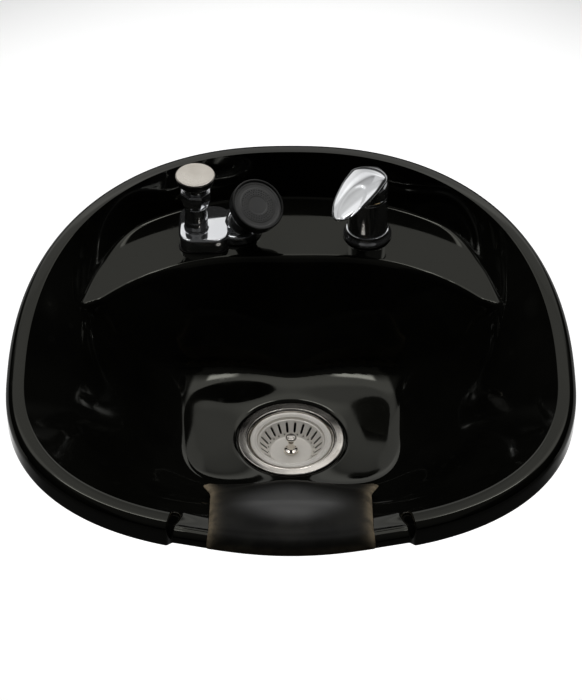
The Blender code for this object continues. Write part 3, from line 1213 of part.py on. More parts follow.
def spray_axis():
    """Frame of the hand spray: Z along its axis, out of the face, from the face's middle."""
    direction = Vector((SPRAY_RIGHT_SHARE, -SPRAY_FORWARD_SHARE, SPRAY_RISE_SHARE)).normalized()
    turn = Vector((0, 0, 1)).rotation_difference(direction).to_matrix().to_4x4()
    middle = over_drain(SPRAY_FACE_ACROSS, SPRAY_FACE_BACK, SPRAY_FACE_RISE)
    return Matrix.Translation(middle) @ turn


def spray_at_rise(rise):
    """Plan place, from the drain, where the spray's axis passes a height over the drain."""
    direction = Vector((SPRAY_RIGHT_SHARE, -SPRAY_FORWARD_SHARE, SPRAY_RISE_SHARE)).normalized()
    along = (rise - SPRAY_FACE_RISE) / direction.z
    return SPRAY_FACE_ACROSS + direction.x * along, SPRAY_FACE_BACK + direction.y * along


def guide_place():
    """Plan place of the hose hole: under the spray, halfway through the deck and its nut."""
    return spray_at_rise(DECK_RISE - BOWL_WALL / 2)


def build_fitting(chrome, rubber, black, brushed, brass, plastic):
    """The plate on the deck with the vacuum breaker's column and the spray's holder."""
    outline = rounded_rectangle(-PLATE_LEFT, -PLATE_RIGHT, PLATE_FRONT, PLATE_REAR, PLATE_CORNER)
    low = DECK_RISE + FITTING_GASKET_THICKNESS + 2 * GAP
    flat = upright(0, 0, 0)
    plate = prism("fixture_plate", chrome, outline, low, DECK_RISE + PLATE_HEIGHT, flat)
    lobe_x, lobe_y = spray_at_rise(DECK_RISE + LOBE_HEIGHT / 2)
    lobe = rod("fixture_lobe", chrome, LOBE_RADIUS, low + GAP, DECK_RISE + LOBE_HEIGHT,
               upright(lobe_x, lobe_y, 0), ROUND_SIDES)
    combine(plate, lobe, "UNION")
    axis = spray_axis()
    bore = GRIP_RADIUS + RUNNING
    holder = rod("holder_body", chrome, bore + HOLDER_WALL, -HOLDER_ALONG - HOLDER_LENGTH,
                 -HOLDER_ALONG, axis, ROUND_SIDES)
    combine(plate, holder, "UNION")
    spray_bore = rod("holder_bore", chrome, bore, -HOLDER_ALONG - 3 * HOLDER_LENGTH,
                     -HOLDER_ALONG + OVERRUN, axis, ROUND_SIDES)
    combine(plate, spray_bore, "DIFFERENCE")
    guide_x, guide_y = guide_place()
    flange_room = GUIDE_HOLE_RADIUS + GUIDE_FLANGE_WIDTH + GAP
    pocket = rod("guide_pocket", chrome, flange_room, DECK_RISE - OVERRUN,
                 DECK_RISE + GUIDE_FLANGE_THICKNESS + 2 * GAP, upright(guide_x, guide_y, 0),
                 ROUND_SIDES)
    combine(plate, pocket, "DIFFERENCE")
    column = upright(-BREAKER_ACROSS, BREAKER_BACK, DECK_RISE)
    riser_bore = rod("riser_bore", chrome, RISER_SHANK_RADIUS + GAP, 0, PLATE_HEIGHT + OVERRUN,
                     column, SMALL_SIDES)
    combine(plate, riser_bore, "DIFFERENCE")
    gasket = prism("fixture_gasket", rubber, outline, DECK_RISE + GAP,
                   DECK_RISE + GAP + FITTING_GASKET_THICKNESS, flat)
    gasket_hole = rod("gasket_hose_hole", rubber, flange_room,
                      DECK_RISE - OVERRUN, DECK_RISE + 2 * OVERRUN,
                      upright(guide_x, guide_y, 0), ROUND_SIDES)
    combine(gasket, gasket_hole, "DIFFERENCE")
    gasket_bore = rod("gasket_riser_hole", rubber, RISER_SHANK_RADIUS + GAP, -OVERRUN,
                      2 * OVERRUN, column, SMALL_SIDES)
    combine(gasket, gasket_bore, "DIFFERENCE")
    build_breaker(column, chrome, black, brushed, brass, rubber, plastic)
    build_hose_guide(guide_x, guide_y, plastic, brass)


def build_hose_guide(x, y, plastic, brass):
    """The bush that lines the hose hole, flanged on the deck, and its nut below."""
    place = upright(x, y, DECK_RISE)
    outer = GUIDE_HOLE_RADIUS - GAP
    inner = outer - GUIDE_WALL
    flange = outer + GUIDE_FLANGE_WIDTH
    turned("hose_guide", plastic, [
        (inner, -BOWL_WALL - GUIDE_BELOW_DECK), (inner, GAP + GUIDE_FLANGE_THICKNESS),
        (flange, GAP + GUIDE_FLANGE_THICKNESS), (flange, GAP), (outer, GAP),
        (outer, -BOWL_WALL - GUIDE_BELOW_DECK)], place, ROUND_SIDES)
    top = -BOWL_WALL - GAP
    ring("hose_guide_nut", plastic, outer + GAP, GUIDE_NUT_FLATS, top - GUIDE_NUT_HEIGHT, top,
         place, ROUND_SIDES, HEX)


def build_breaker(column, chrome, black, brushed, brass, rubber, plastic):
    """The vacuum breaker's column, from its shank under the deck to its cap."""
    base = PLATE_HEIGHT + GAP
    shank_low = -BOWL_WALL - RISER_SHANK_LENGTH
    riser_top = base + RISER_HEIGHT
    turned("breaker_riser", chrome, [
        (RISER_BORE, shank_low), (RISER_BORE, riser_top), (RISER_RADIUS, riser_top),
        (RISER_RADIUS, base + RISER_COLLAR_HEIGHT), (RISER_COLLAR_RADIUS, base),
        (RISER_SHANK_RADIUS, base), (RISER_SHANK_RADIUS, shank_low)], column, ROUND_SIDES)
    housing = riser_top + GAP
    step = housing + FLOAT_HEIGHT + FLOAT_TRAVEL + 2 * GAP
    top = housing + HOUSING_HEIGHT
    turned("breaker_housing", chrome, [
        (HOUSING_BORE, housing), (HOUSING_BORE, step), (HOUSING_NECK_BORE, step),
        (HOUSING_NECK_BORE, top), (HOUSING_HIGH_FLATS, top, HOUSING_SIDES),
        (HOUSING_HIGH_FLATS, top - HOUSING_HEIGHT * HOUSING_BAND_SHARE, HOUSING_SIDES),
        (HOUSING_LOW_FLATS, housing, HOUSING_SIDES)], column, ROUND_SIDES)
    rod("breaker_float", plastic, FLOAT_RADIUS, housing, housing + FLOAT_HEIGHT, column, TUBE_SIDES)
    ring("breaker_bonnet", chrome, HOUSING_NECK_BORE, BONNET_RADIUS, top + GAP,
         top + GAP + BONNET_HEIGHT, column, SMALL_SIDES)
    cap = top + BONNET_HEIGHT + 2 * GAP
    turned("breaker_cap_skirt", black, [
        (0, cap), (CAP_SKIRT_RADIUS - CAP_SKIRT_DRAW_IN, cap),
        (CAP_SKIRT_RADIUS, cap + CAP_SKIRT_DRAW_IN), (CAP_SKIRT_RADIUS, cap + CAP_SKIRT_HEIGHT),
        (0, cap + CAP_SKIRT_HEIGHT)], column, ROUND_SIDES)
    disc = cap + CAP_SKIRT_HEIGHT + GAP
    turned("breaker_cap_disc", brushed, [
        (0, disc), (CAP_DISC_RADIUS, disc), (CAP_DISC_RADIUS, disc + CAP_DISC_THICKNESS / 2),
        (CAP_DISC_RADIUS - CAP_DISC_THICKNESS / 2, disc + CAP_DISC_THICKNESS),
        (0, disc + CAP_DISC_THICKNESS)], column, ROUND_SIDES)
    below = -BOWL_WALL - GAP
    ring("breaker_under_washer", rubber, RISER_SHANK_RADIUS + GAP, BREAKER_WASHER_RADIUS,
         below - BREAKER_WASHER_THICKNESS, below, column, SMALL_SIDES)
    below -= BREAKER_WASHER_THICKNESS + GAP
    ring("breaker_lock_nut", brass, RISER_SHANK_RADIUS + GAP, BREAKER_NUT_FLATS,
         below - BREAKER_NUT_HEIGHT, below, column, NUT_SIDES, HEX)


def build_spray(black, face_black, chrome):
    """The hand spray: head, nozzle face, grip and the coupling of its hose."""
    axis = spray_axis()
    back = -SPRAY_SIDE
    neck = -SPRAY_SIDE - SPRAY_CONE
    inner = SPRAY_RADIUS - SPRAY_WALL
    pocket = SPRAY_FACE_INSET + SPRAY_FACE_THICKNESS + GAP
    head = turned("spray_head", black, [
        (GRIP_BORE, neck), (GRIP_BORE, -pocket - SPRAY_BACK_THICKNESS),
        (inner, -pocket - SPRAY_BACK_THICKNESS), (inner, 0), (SPRAY_RADIUS, 0),
        (SPRAY_RADIUS, back), (SPRAY_NECK_RADIUS, neck)], axis, ROUND_SIDES)
    face = turned("spray_face", face_black, [
        (0, -SPRAY_FACE_INSET - SPRAY_FACE_THICKNESS),
        (inner - GAP, -SPRAY_FACE_INSET - SPRAY_FACE_THICKNESS),
        (inner - GAP, -SPRAY_FACE_INSET), (0, -SPRAY_FACE_INSET)], axis, ROUND_SIDES)
    grip_top = neck - GAP
    grip = turned("spray_grip", black, [
        (GRIP_BORE, grip_top - GRIP_LENGTH), (GRIP_BORE, grip_top), (GRIP_RADIUS, grip_top),
        (GRIP_RADIUS, grip_top - GRIP_LENGTH * GRIP_TAPER_SHARE),
        (COUPLING_RADIUS, grip_top - GRIP_LENGTH)], axis, SMALL_SIDES)
    coupling_top = grip_top - GRIP_LENGTH - GAP
    coupling = ring("hose_coupling", chrome, GRIP_BORE, COUPLING_RADIUS,
                    coupling_top - COUPLING_LENGTH, coupling_top, axis, NUT_SIDES, HEX)
    return joint_axis("spray_pull_axis", axis, [head, face, grip, coupling])


# Wall bracket and tilt

def build_bracket(steel_black, zinc, bronze, knob):
    """The wall bracket, the cradle under the bowl, their pivots and the tilt clamp."""
    outline = [(-PLATE_WIDE / 2, -PLATE_TALL / 2), (PLATE_WIDE / 2, -PLATE_TALL / 2),
               (PLATE_WIDE / 2, PLATE_TALL / 2), (-PLATE_WIDE / 2, PLATE_TALL / 2)]
    upright_plate = Matrix.Rotation(math.pi / 2, 4, "X")
    bracket = prism("wall_bracket", steel_black, outline, 0, BRACKET_METAL, upright_plate)
    for number, (x, z) in enumerate(mount_holes()):
        hole = rod(f"mount_hole_{number}", steel_black, MOUNT_HOLE_RADIUS, -OVERRUN,
                   BRACKET_METAL + OVERRUN, Matrix.Translation(Vector((x, 0, z))) @ upright_plate,
                   TUBE_SIDES)
        combine(bracket, hole, "DIFFERENCE")
    pivot = (-PIVOT_FORWARD, PIVOT_RISE)
    for side, name in ((-1, "left"), (1, "right")):
        inner = EAR_INNER_FACE if side > 0 else -EAR_INNER_FACE - EAR_THICKNESS
        ear = prism(f"ear_{name}", steel_black, ear_outline(pivot, side > 0), inner,
                    inner + EAR_THICKNESS, side_plane())
        combine(bracket, ear, "UNION")
    span = EAR_INNER_FACE + EAR_THICKNESS
    pivot_bore = rod("ear_bore", steel_black, PIVOT_BOLT_RADIUS + GAP, -span - OVERRUN,
                     span + OVERRUN, sideways(0, -PIVOT_FORWARD, PIVOT_RISE), SMALL_SIDES)
    combine(bracket, pivot_bore, "DIFFERENCE")
    slot = prism("ear_slot", steel_black, slot_outline(), EAR_INNER_FACE - OVERRUN,
                 span + OVERRUN, side_plane())
    combine(bracket, slot, "DIFFERENCE")
    build_cradle(pivot, steel_black, zinc)
    build_pivots(zinc, bronze)
    build_clamp(zinc, steel_black, knob)


def mount_holes():
    """Places of the wall screws on the plate."""
    return [(side * MOUNT_HOLE_ACROSS, up * MOUNT_HOLE_UP) for side in (-1, 0, 1) for up in (-1, 1)]


def side_plane():
    """Frame whose local X is world +Y, local Y is world +Z and local Z is world +X."""
    return Matrix(((0, 0, 1, 0), (1, 0, 0, 0), (0, 1, 0, 0), (0, 0, 0, 1)))


def clamp_point(angle, radius=CLAMP_RADIUS):
    """Place in the side plane at an angle around the pivot."""
    turn = math.radians(angle)
    return -PIVOT_FORWARD + radius * math.cos(turn), PIVOT_RISE + radius * math.sin(turn)


def ear_outline(pivot, with_slot):
    """Side view of an ear: from the wall plate round the pivot, and round the slot if it has one."""
    half = PLATE_TALL / 2 - BRACKET_METAL
    root = -BRACKET_METAL / 2
    points = [(root, half)] + arc_points(pivot, EAR_NOSE, *EAR_NOSE_ANGLES, 5)
    if with_slot:
        low = CLAMP_ANGLE - TILT_UP_ANGLE - SLOT_MARGIN_ANGLE
        high = CLAMP_ANGLE + TILT_DOWN_ANGLE + SLOT_MARGIN_ANGLE
        edge = CLAMP_RADIUS + CLAMP_STUD_RADIUS + EAR_SLOT_BORDER
        points += [clamp_point(low - EAR_END_ANGLE, edge * EAR_NECK_SHARE)]
        points += [clamp_point(a, edge) for a in np.linspace(low - EAR_END_ANGLE / 2,
                                                             high + EAR_END_ANGLE, 6)]
    else:
        points += arc_points(pivot, EAR_NOSE, *EAR_UNDER_ANGLES, 4)
    return points + [(root, -half)]


def slot_outline():
    """The clamp slot: an arc about the pivot with round ends."""
    half = CLAMP_STUD_RADIUS + CLAMP_SLOT_CLEARANCE
    low = CLAMP_ANGLE - TILT_UP_ANGLE - SLOT_MARGIN_ANGLE
    high = CLAMP_ANGLE + TILT_DOWN_ANGLE + SLOT_MARGIN_ANGLE
    outer = [clamp_point(a, CLAMP_RADIUS + half) for a in np.linspace(low, high, 6)]
    inner = [clamp_point(a, CLAMP_RADIUS - half) for a in np.linspace(high, low, 6)]
    high_end = arc_points(clamp_point(high), half, high, high + 2 * QUARTER, 7)[1:-1]
    low_end = arc_points(clamp_point(low), half, low + 2 * QUARTER, low + 4 * QUARTER, 7)[1:-1]
    return outer + high_end + inner + low_end


def cheek_inner():
    """Distance from the middle to a cheek's inner face."""
    return EAR_INNER_FACE - CHEEK_GAP - CHEEK_THICKNESS


def build_cradle(pivot, steel_black, zinc):
    """The cradle: two cheeks on the pivots, flanges under the bosses and a tube across."""
    top = over_drain(0, 0, DECK_RISE - BOWL_WALL - BOSS_HEIGHT - GAP).z
    front = over_drain(0, BOSS_FRONT - BOSS_RADIUS, 0).y
    rear = over_drain(0, BOSS_REAR + BOSS_RADIUS, 0).y
    cheek = ([(front, top)] + [(front, top - CHEEK_LIP)]
             + arc_points(clamp_point(CLAMP_ANGLE), CHEEK_STUD_BORDER, *CHEEK_STUD_ANGLES, 6)
             + arc_points(pivot, CHEEK_NOSE, *CHEEK_NOSE_ANGLES, 6) + [(rear, top)])
    cradle = None
    for side, name in ((-1, "left"), (1, "right")):
        inner = cheek_inner() if side > 0 else -cheek_inner() - CHEEK_THICKNESS
        plate = prism("cradle" if cradle is None else f"cheek_{name}", steel_black, cheek, inner,
                      inner + CHEEK_THICKNESS, side_plane())
        reach = cheek_inner() + CHEEK_THICKNESS / 2
        edge = BOSS_ACROSS - BOSS_RADIUS
        flange_outline = [(side * edge, front), (side * reach, front), (side * reach, rear),
                          (side * edge, rear)]
        flange = prism(f"flange_{name}", steel_black, flange_outline, top - CRADLE_METAL, top)
        cradle = plate if cradle is None else cradle
        if plate is not cradle:
            combine(cradle, plate, "UNION")
        combine(cradle, flange, "UNION")
    tube_place = sideways(0, -PIVOT_FORWARD - CRADLE_TUBE_FORWARD,
                          PIVOT_RISE - CRADLE_TUBE_DOWN)
    reach = cheek_inner() + CHEEK_THICKNESS / 2
    combine(cradle, rod("cross_tube", steel_black, CRADLE_TUBE_RADIUS, -reach, reach, tube_place,
                        SMALL_SIDES), "UNION")
    outside = cheek_inner() + CHEEK_THICKNESS + OVERRUN
    combine(cradle, rod("tube_bore", steel_black, CRADLE_TUBE_RADIUS - CRADLE_TUBE_WALL, -outside,
                        outside, tube_place, SMALL_SIDES), "DIFFERENCE")
    bush = PIVOT_BOLT_RADIUS + GAP + PIVOT_BUSH_WALL + GAP
    combine(cradle, rod("cheek_bore", steel_black, bush, -outside, outside,
                        sideways(0, *pivot), SMALL_SIDES), "DIFFERENCE")
    combine(cradle, rod("stud_bore", steel_black, CLAMP_STUD_RADIUS + GAP, cheek_inner() - OVERRUN,
                        outside, sideways(0, *clamp_point(CLAMP_ANGLE)), SMALL_SIDES),
            "DIFFERENCE")
    for number, (x, y) in enumerate(boss_places()):
        spot = Vector((x, over_drain(0, y, 0).y, 0))
        combine(cradle, rod(f"flange_hole_{number}", steel_black, BOLT_HOLE_RADIUS,
                            top - CRADLE_METAL - OVERRUN, top + OVERRUN, Matrix.Translation(spot),
                            TUBE_SIDES), "DIFFERENCE")
        head_top = top - CRADLE_METAL - GAP
        turned(f"bowl_bolt_{number + 1}", zinc, [
            (0, head_top - BOLT_HEAD_HEIGHT), (BOLT_HEAD_FLATS, head_top - BOLT_HEAD_HEIGHT, HEX),
            (BOLT_HEAD_FLATS, head_top, HEX), (BOLT_RADIUS, head_top),
            (BOLT_RADIUS, head_top + BOLT_GRIP), (0, head_top + BOLT_GRIP)],
            Matrix.Translation(spot), NUT_SIDES)


def build_pivots(zinc, bronze):
    """A bolt, nut and flanged bush at each pivot."""
    for side, name in ((-1, "left"), (1, "right")):
        outward = sideways(0, -PIVOT_FORWARD, PIVOT_RISE)
        if side < 0:
            outward = outward @ Matrix.Rotation(math.pi, 4, "X")
        head = EAR_INNER_FACE + EAR_THICKNESS + GAP
        nut_high = cheek_inner() - GAP
        end = nut_high - PIVOT_NUT_HEIGHT - PIVOT_BOLT_END
        turned(f"pivot_bolt_{name}", zinc, [
            (0, end), (PIVOT_BOLT_RADIUS, end), (PIVOT_BOLT_RADIUS, head),
            (PIVOT_HEAD_FLATS, head, HEX), (PIVOT_HEAD_FLATS, head + PIVOT_HEAD_HEIGHT, HEX),
            (0, head + PIVOT_HEAD_HEIGHT)], outward, NUT_SIDES)
        ring(f"pivot_nut_{name}", zinc, PIVOT_BOLT_RADIUS + GAP, PIVOT_HEAD_FLATS,
             nut_high - PIVOT_NUT_HEIGHT, nut_high, outward, NUT_SIDES, HEX)
        bore = PIVOT_BOLT_RADIUS + GAP
        sleeve = bore + PIVOT_BUSH_WALL
        face = cheek_inner() + CHEEK_THICKNESS + GAP
        turned(f"pivot_bush_{name}", bronze, [
            (bore, cheek_inner()), (bore, face + PIVOT_BUSH_FLANGE),
            (sleeve + PIVOT_BUSH_FLANGE_WIDTH, face + PIVOT_BUSH_FLANGE),
            (sleeve + PIVOT_BUSH_FLANGE_WIDTH, face), (sleeve, face), (sleeve, cheek_inner())],
            outward, SMALL_SIDES)


def build_clamp(zinc, steel_black, knob):
    """The tilt clamp on the right ear: stud, washer and hand lever."""
    y, z = clamp_point(CLAMP_ANGLE)
    place = sideways(0, y, z)
    inner_face = cheek_inner() - GAP
    outer = EAR_INNER_FACE + EAR_THICKNESS + GAP
    washer_top = outer + CLAMP_WASHER_THICKNESS
    hub_low = washer_top + GAP
    turned("clamp_stud", zinc, [
        (0, inner_face - CLAMP_HEAD_HEIGHT), (CLAMP_HEAD_FLATS, inner_face - CLAMP_HEAD_HEIGHT, HEX),
        (CLAMP_HEAD_FLATS, inner_face, HEX), (CLAMP_STUD_RADIUS, inner_face),
        (CLAMP_STUD_RADIUS, hub_low + CLAMP_HUB_LENGTH - 2 * CLAMP_STUD_RADIUS),
        (0, hub_low + CLAMP_HUB_LENGTH - 2 * CLAMP_STUD_RADIUS)], place, NUT_SIDES)
    ring("clamp_washer", zinc, CLAMP_STUD_RADIUS + GAP, CLAMP_WASHER_RADIUS, outer, washer_top,
         place, SMALL_SIDES)
    lever = turned("clamp_lever", knob, [
        (0, hub_low), (CLAMP_HUB_RADIUS, hub_low), (CLAMP_HUB_RADIUS, hub_low + CLAMP_HUB_LENGTH),
        (0, hub_low + CLAMP_HUB_LENGTH)], place, SMALL_SIDES)
    arm_place = (place @ Matrix.Translation(Vector((0, 0, hub_low + CLAMP_HUB_LENGTH / 2)))
                 @ Matrix.Rotation(math.radians(CLAMP_ARM_ANGLE), 4, "Z")
                 @ Matrix.Rotation(math.pi / 2, 4, "Y"))
    combine(lever, turned("clamp_arm", knob, [
        (0, 0), (CLAMP_ARM_RADIUS, 0), (CLAMP_ARM_RADIUS, CLAMP_ARM_LENGTH - CLAMP_KNOB_LENGTH),
        (CLAMP_KNOB_RADIUS, CLAMP_ARM_LENGTH - CLAMP_KNOB_LENGTH + CLAMP_KNOB_RADIUS / 2),
        (CLAMP_KNOB_RADIUS, CLAMP_ARM_LENGTH - CLAMP_KNOB_RADIUS / 2),
        (CLAMP_KNOB_RADIUS / 2, CLAMP_ARM_LENGTH), (0, CLAMP_ARM_LENGTH)], arm_place,
        TUBE_SIDES), "UNION")
    combine(lever, rod("hub_bore", knob, CLAMP_STUD_RADIUS + GAP, hub_low - OVERRUN,
                       hub_low + CLAMP_HUB_LENGTH - CLAMP_STUD_RADIUS, place, SMALL_SIDES),
            "DIFFERENCE")


def main():
    """Build every sub-assembly."""
    for thing in list(bpy.data.objects):
        bpy.data.objects.remove(thing, do_unlink=True)
    glaze = finish("black glaze", (0.012, 0.012, 0.011), 0.08)
    rubber = finish("black rubber", (0.045, 0.043, 0.041), 0.7)
    chrome = finish("chrome", (0.86, 0.87, 0.88), 0.06, 1.0)
    steel = finish("polished steel", (0.75, 0.73, 0.70), 0.2, 1.0)
    brushed = finish("brushed steel", (0.68, 0.66, 0.63), 0.38, 1.0)
    black = finish("black plastic", (0.03, 0.03, 0.03), 0.45)
    face_black = finish("nozzle plastic", (0.09, 0.09, 0.09), 0.5)
    plastic = finish("white plastic", (0.75, 0.75, 0.73), 0.5)
    fibre = finish("fibre", (0.45, 0.25, 0.12), 0.8)
    brass = finish("brass", (0.75, 0.58, 0.32), 0.3, 1.0)
    ceramic = finish("ceramic", (0.85, 0.85, 0.82), 0.3)
    zinc = finish("zinc", (0.62, 0.63, 0.65), 0.35, 1.0)
    bronze = finish("bronze", (0.55, 0.38, 0.2), 0.4, 1.0)
    coated = finish("coated steel", (0.05, 0.05, 0.052), 0.45, 0.3)
    build_bowl(glaze)
    rest = build_neck_rest(rubber)
    joint_axis("neck_rest_axis", upright(0, -BOWL_FRONT_REACH, NOTCH_LIP_RISE), [rest])
    build_drain(steel, brushed, rubber, fibre, plastic, chrome)
    build_mixer(chrome, rubber, plastic, brass, ceramic, steel)
    build_spray(black, face_black, chrome)
    build_fitting(chrome, rubber, black, brushed, brass, plastic)
    build_bracket(coated, zinc, bronze, black)
    fixed = [bpy.data.objects[name] for name in FIXED_PIECES]
    loose = [thing for thing in bpy.data.objects if thing.parent is None]
    tilting = [thing for thing in loose if thing not in fixed]
    joint_axis("bowl_tilt_axis", Matrix.Translation(Vector((0, -PIVOT_FORWARD, PIVOT_RISE))), tilting)


main()
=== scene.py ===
"""Looks of the tilting shampoo bowl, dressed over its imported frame.

All lengths are metres in the frame's own axes: X right, Y into the wall, Z up. The bowl and its
fittings are set out from the middle of the drain, which DRAIN places in the frame.
"""

import json
import logging
import math
from collections.abc import Callable, Iterable
from dataclasses import dataclass, replace
from enum import Enum
from functools import cache, reduce

import bmesh
import bpy
import numpy as np
from bpy.types import Material, Node, NodeSocket, NodeTree, Object
from mathutils import Matrix, Vector
from numpy import ndarray


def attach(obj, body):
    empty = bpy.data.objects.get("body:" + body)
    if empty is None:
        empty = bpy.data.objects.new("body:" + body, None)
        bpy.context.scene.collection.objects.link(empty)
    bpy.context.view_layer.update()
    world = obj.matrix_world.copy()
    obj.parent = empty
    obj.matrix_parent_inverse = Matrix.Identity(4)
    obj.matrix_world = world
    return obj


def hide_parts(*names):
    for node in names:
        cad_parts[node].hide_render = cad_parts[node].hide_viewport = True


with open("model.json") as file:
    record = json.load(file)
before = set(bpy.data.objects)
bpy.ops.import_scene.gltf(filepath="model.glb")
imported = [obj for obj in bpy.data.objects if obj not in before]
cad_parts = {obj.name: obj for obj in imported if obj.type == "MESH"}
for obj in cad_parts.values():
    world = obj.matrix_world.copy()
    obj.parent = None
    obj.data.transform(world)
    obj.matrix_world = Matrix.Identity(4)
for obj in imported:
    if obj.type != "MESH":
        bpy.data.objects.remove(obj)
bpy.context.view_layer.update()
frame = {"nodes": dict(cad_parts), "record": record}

MM = 0.001
DRAIN = np.array([0.0, -0.295, -0.030])
DECK_RISE = 130 * MM
MIXER_SPOT = (82 * MM, 181 * MM)
BREAKER_SPOT = (-101 * MM, 174 * MM)
GAP = 0.3 * MM
WELD = 1e-6
TAU = 2 * math.pi
FRONT = 1.5 * math.pi
ORIGIN = (0.0, 0.0, 0.0)
LOG = logging.getLogger("shampoo_bowl")

Pair = tuple[float, float]
Triple = tuple[float, float, float]
Row = tuple[float, ...]
Corners = tuple[Row, ...]


class Body(Enum):
    """Moving bodies of the frame that new pieces ride on."""

    BOWL = "bowl"
    NECK_REST = "neck_rest"
    STRAINER = "strainer"
    HANDLE = "handle"
    SPRAY = "spray"


class Slot(Enum):
    """Material slots of the record."""

    GLAZE = "glaze"
    NECK_RUBBER = "neck_rubber"
    SEAL_RUBBER = "seal_rubber"
    CHROME = "chrome"
    POLISHED_STEEL = "polished_steel"
    BRUSHED_STEEL = "brushed_steel"
    BLACK_PLASTIC = "black_plastic"
    NOZZLE_PLASTIC = "nozzle_plastic"
    WHITE_PLASTIC = "white_plastic"
    FIBRE = "fibre"
    BRASS = "brass"
    CERAMIC_DISC = "ceramic_disc"
    ZINC_PLATED = "zinc_plated"
    BRONZE = "bronze"
    COATED_STEEL = "coated_steel"


class Brush(Enum):
    """How the fine lines of a metal run."""

    NONE = 0
    ROUND = 1


class Join(Enum):
    """How two solids are made into one."""

    UNION = "UNION"
    DIFFERENCE = "DIFFERENCE"


# Arrays and meshes

def smoothstep(value: ndarray) -> ndarray:
    """Ease from 0 to 1 as value goes from 0 to 1: 3 v squared less 2 v cubed.

    Args:
        value: Any array; it is held between 0 and 1 first.

    Returns:
        The eased array.
    """
    value = np.clip(value, 0.0, 1.0)
    return value * value * (3.0 - 2.0 * value)


def soft_max(first: ndarray, second: ndarray, reach: float) -> ndarray:
    """The larger of two heights, with a parabolic fillet where they are within reach of each other.

    Args:
        first: One surface's heights.
        second: The other surface's heights.
        reach: Difference in height at which the fillet starts.

    Returns:
        The joined heights.
    """
    near = np.clip(reach - np.abs(first - second), 0.0, None) / reach
    return np.maximum(first, second) + near * near * reach / 4.0


def soft_min(first: ndarray, second: ndarray, reach: float) -> ndarray:
    """The smaller of two heights, rounded where they meet, as soft_max does.

    Args:
        first: One surface's heights.
        second: The other surface's heights.
        reach: Difference in height at which the rounding starts.

    Returns:
        The joined heights.
    """
    return -soft_max(-first, -second, reach)


def hermite_slopes(rises: ndarray) -> ndarray:
    """Slopes of a curve that never overshoots its stations.

    Args:
        rises: Slope of the straight line over each stretch.

    Returns:
        At each station the harmonic mean of the slopes beside it, or 0 where they turn.
    """
    left, right = rises[..., :-1], rises[..., 1:]
    same_way = left * right > 0
    total = np.where(same_way, left + right, 1.0)
    inner = np.where(same_way, 2.0 * left * right / total, 0.0)
    return np.concatenate([rises[..., :1], inner, rises[..., -1:]], axis=-1)


def hermite_blend(t: ndarray, width: ndarray, start: ndarray, end: ndarray,
                  start_slope: ndarray, end_slope: ndarray) -> ndarray:
    """One cubic stretch with given end heights and slopes.

    Args:
        t: Share of the way along the stretch.
        width: Length of the stretch.
        start: Height where it starts.
        end: Height where it ends.
        start_slope: Slope where it starts.
        end_slope: Slope where it ends.

    Returns:
        Heights: the cubic Hermite curve.
    """
    square = t * t
    cube = square * t
    heights = (2 * cube - 3 * square + 1) * start + (3 * square - 2 * cube) * end
    return heights + width * ((cube - 2 * square + t) * start_slope + (cube - square) * end_slope)


def smooth_table(places: ndarray, stations: Row, values: Row) -> ndarray:
    """Read a table with a smooth curve that is level at both ends and never overshoots.

    Args:
        places: Where to read it.
        stations: Where the table's values stand, rising.
        values: The table's values.

    Returns:
        The values at the places.
    """
    knots, heights = np.asarray(stations, float), np.asarray(values, float)
    slopes = hermite_slopes(np.diff(heights) / np.diff(knots))
    slopes[0] = slopes[-1] = 0.0
    index = np.clip(np.searchsorted(knots, places, side="right") - 1, 0, len(knots) - 2)
    width = knots[index + 1] - knots[index]
    t = np.clip((places - knots[index]) / width, 0.0, 1.0)
    return hermite_blend(t, width, heights[index], heights[index + 1], slopes[index],
                         slopes[index + 1])


def spread(low: float, high: float, count: int, peaks: Iterable[Triple]) -> ndarray:
    """Stations between two values, closer together at some of them.

    The spacing is the inverse of 1 plus a bell curve for each peak.

    Args:
        low: First station.
        high: Last station.
        count: How many stations.
        peaks: For each crowded place its middle, its width and how crowded it is.

    Returns:
        The stations, rising.
    """
    fine = np.linspace(low, high, count * 40)
    density = np.ones_like(fine)
    for middle, width, crowd in peaks:
        density = density + crowd * np.exp(-((fine - middle) / width) ** 2)
    total = np.concatenate([[0.0], np.cumsum((density[1:] + density[:-1]) * np.diff(fine))])
    return np.interp(np.linspace(0.0, total[-1], count), total, fine)


def rounded_path(corners: Iterable[Row], closed: bool = False, steps: int = 6) -> ndarray:
    """A path through corners, with each corner rounded.

    Each corner is replaced by the parabola that touches both its sides a rounding's length away.

    Args:
        corners: (radius, height) or (radius, height, rounding) of each corner.
        closed: Whether the last corner joins the first.
        steps: Points on each rounding, less one.

    Returns:
        Points of the path, two columns.
    """
    corners = list(corners)
    points = np.array([corner[:2] for corner in corners], float)
    path = []
    for number, corner in enumerate(corners):
        rounding = corner[2] if len(corner) > 2 else 0.0
        at_end = not closed and number in (0, len(corners) - 1)
        if rounding == 0.0 or at_end:
            path.append(points[number][None])
            continue
        before = points[number - 1] - points[number]
        after = points[(number + 1) % len(points)] - points[number]
        reach = min(rounding, *(0.49 * np.hypot(*side) for side in (before, after)))
        t = np.linspace(0.0, 1.0, steps + 1)[:, None]
        start = points[number] + before / np.hypot(*before) * reach
        end = points[number] + after / np.hypot(*after) * reach
        path.append((1 - t) ** 2 * start + 2 * t * (1 - t) * points[number] + t * t * end)
    return np.concatenate(path)


def in_metres(corners: Corners, rise: float = 0.0) -> list[Row]:
    """Corners of a section in metres, from a table in millimetres.

    Args:
        corners: Radius, height and perhaps rounding of each corner, in millimetres.
        rise: Height in metres that each corner is raised by.

    Returns:
        The corners, as rounded_path takes them.
    """
    return [(corner[0] * MM, corner[1] * MM + rise, *(size * MM for size in corner[2:]))
            for corner in corners]


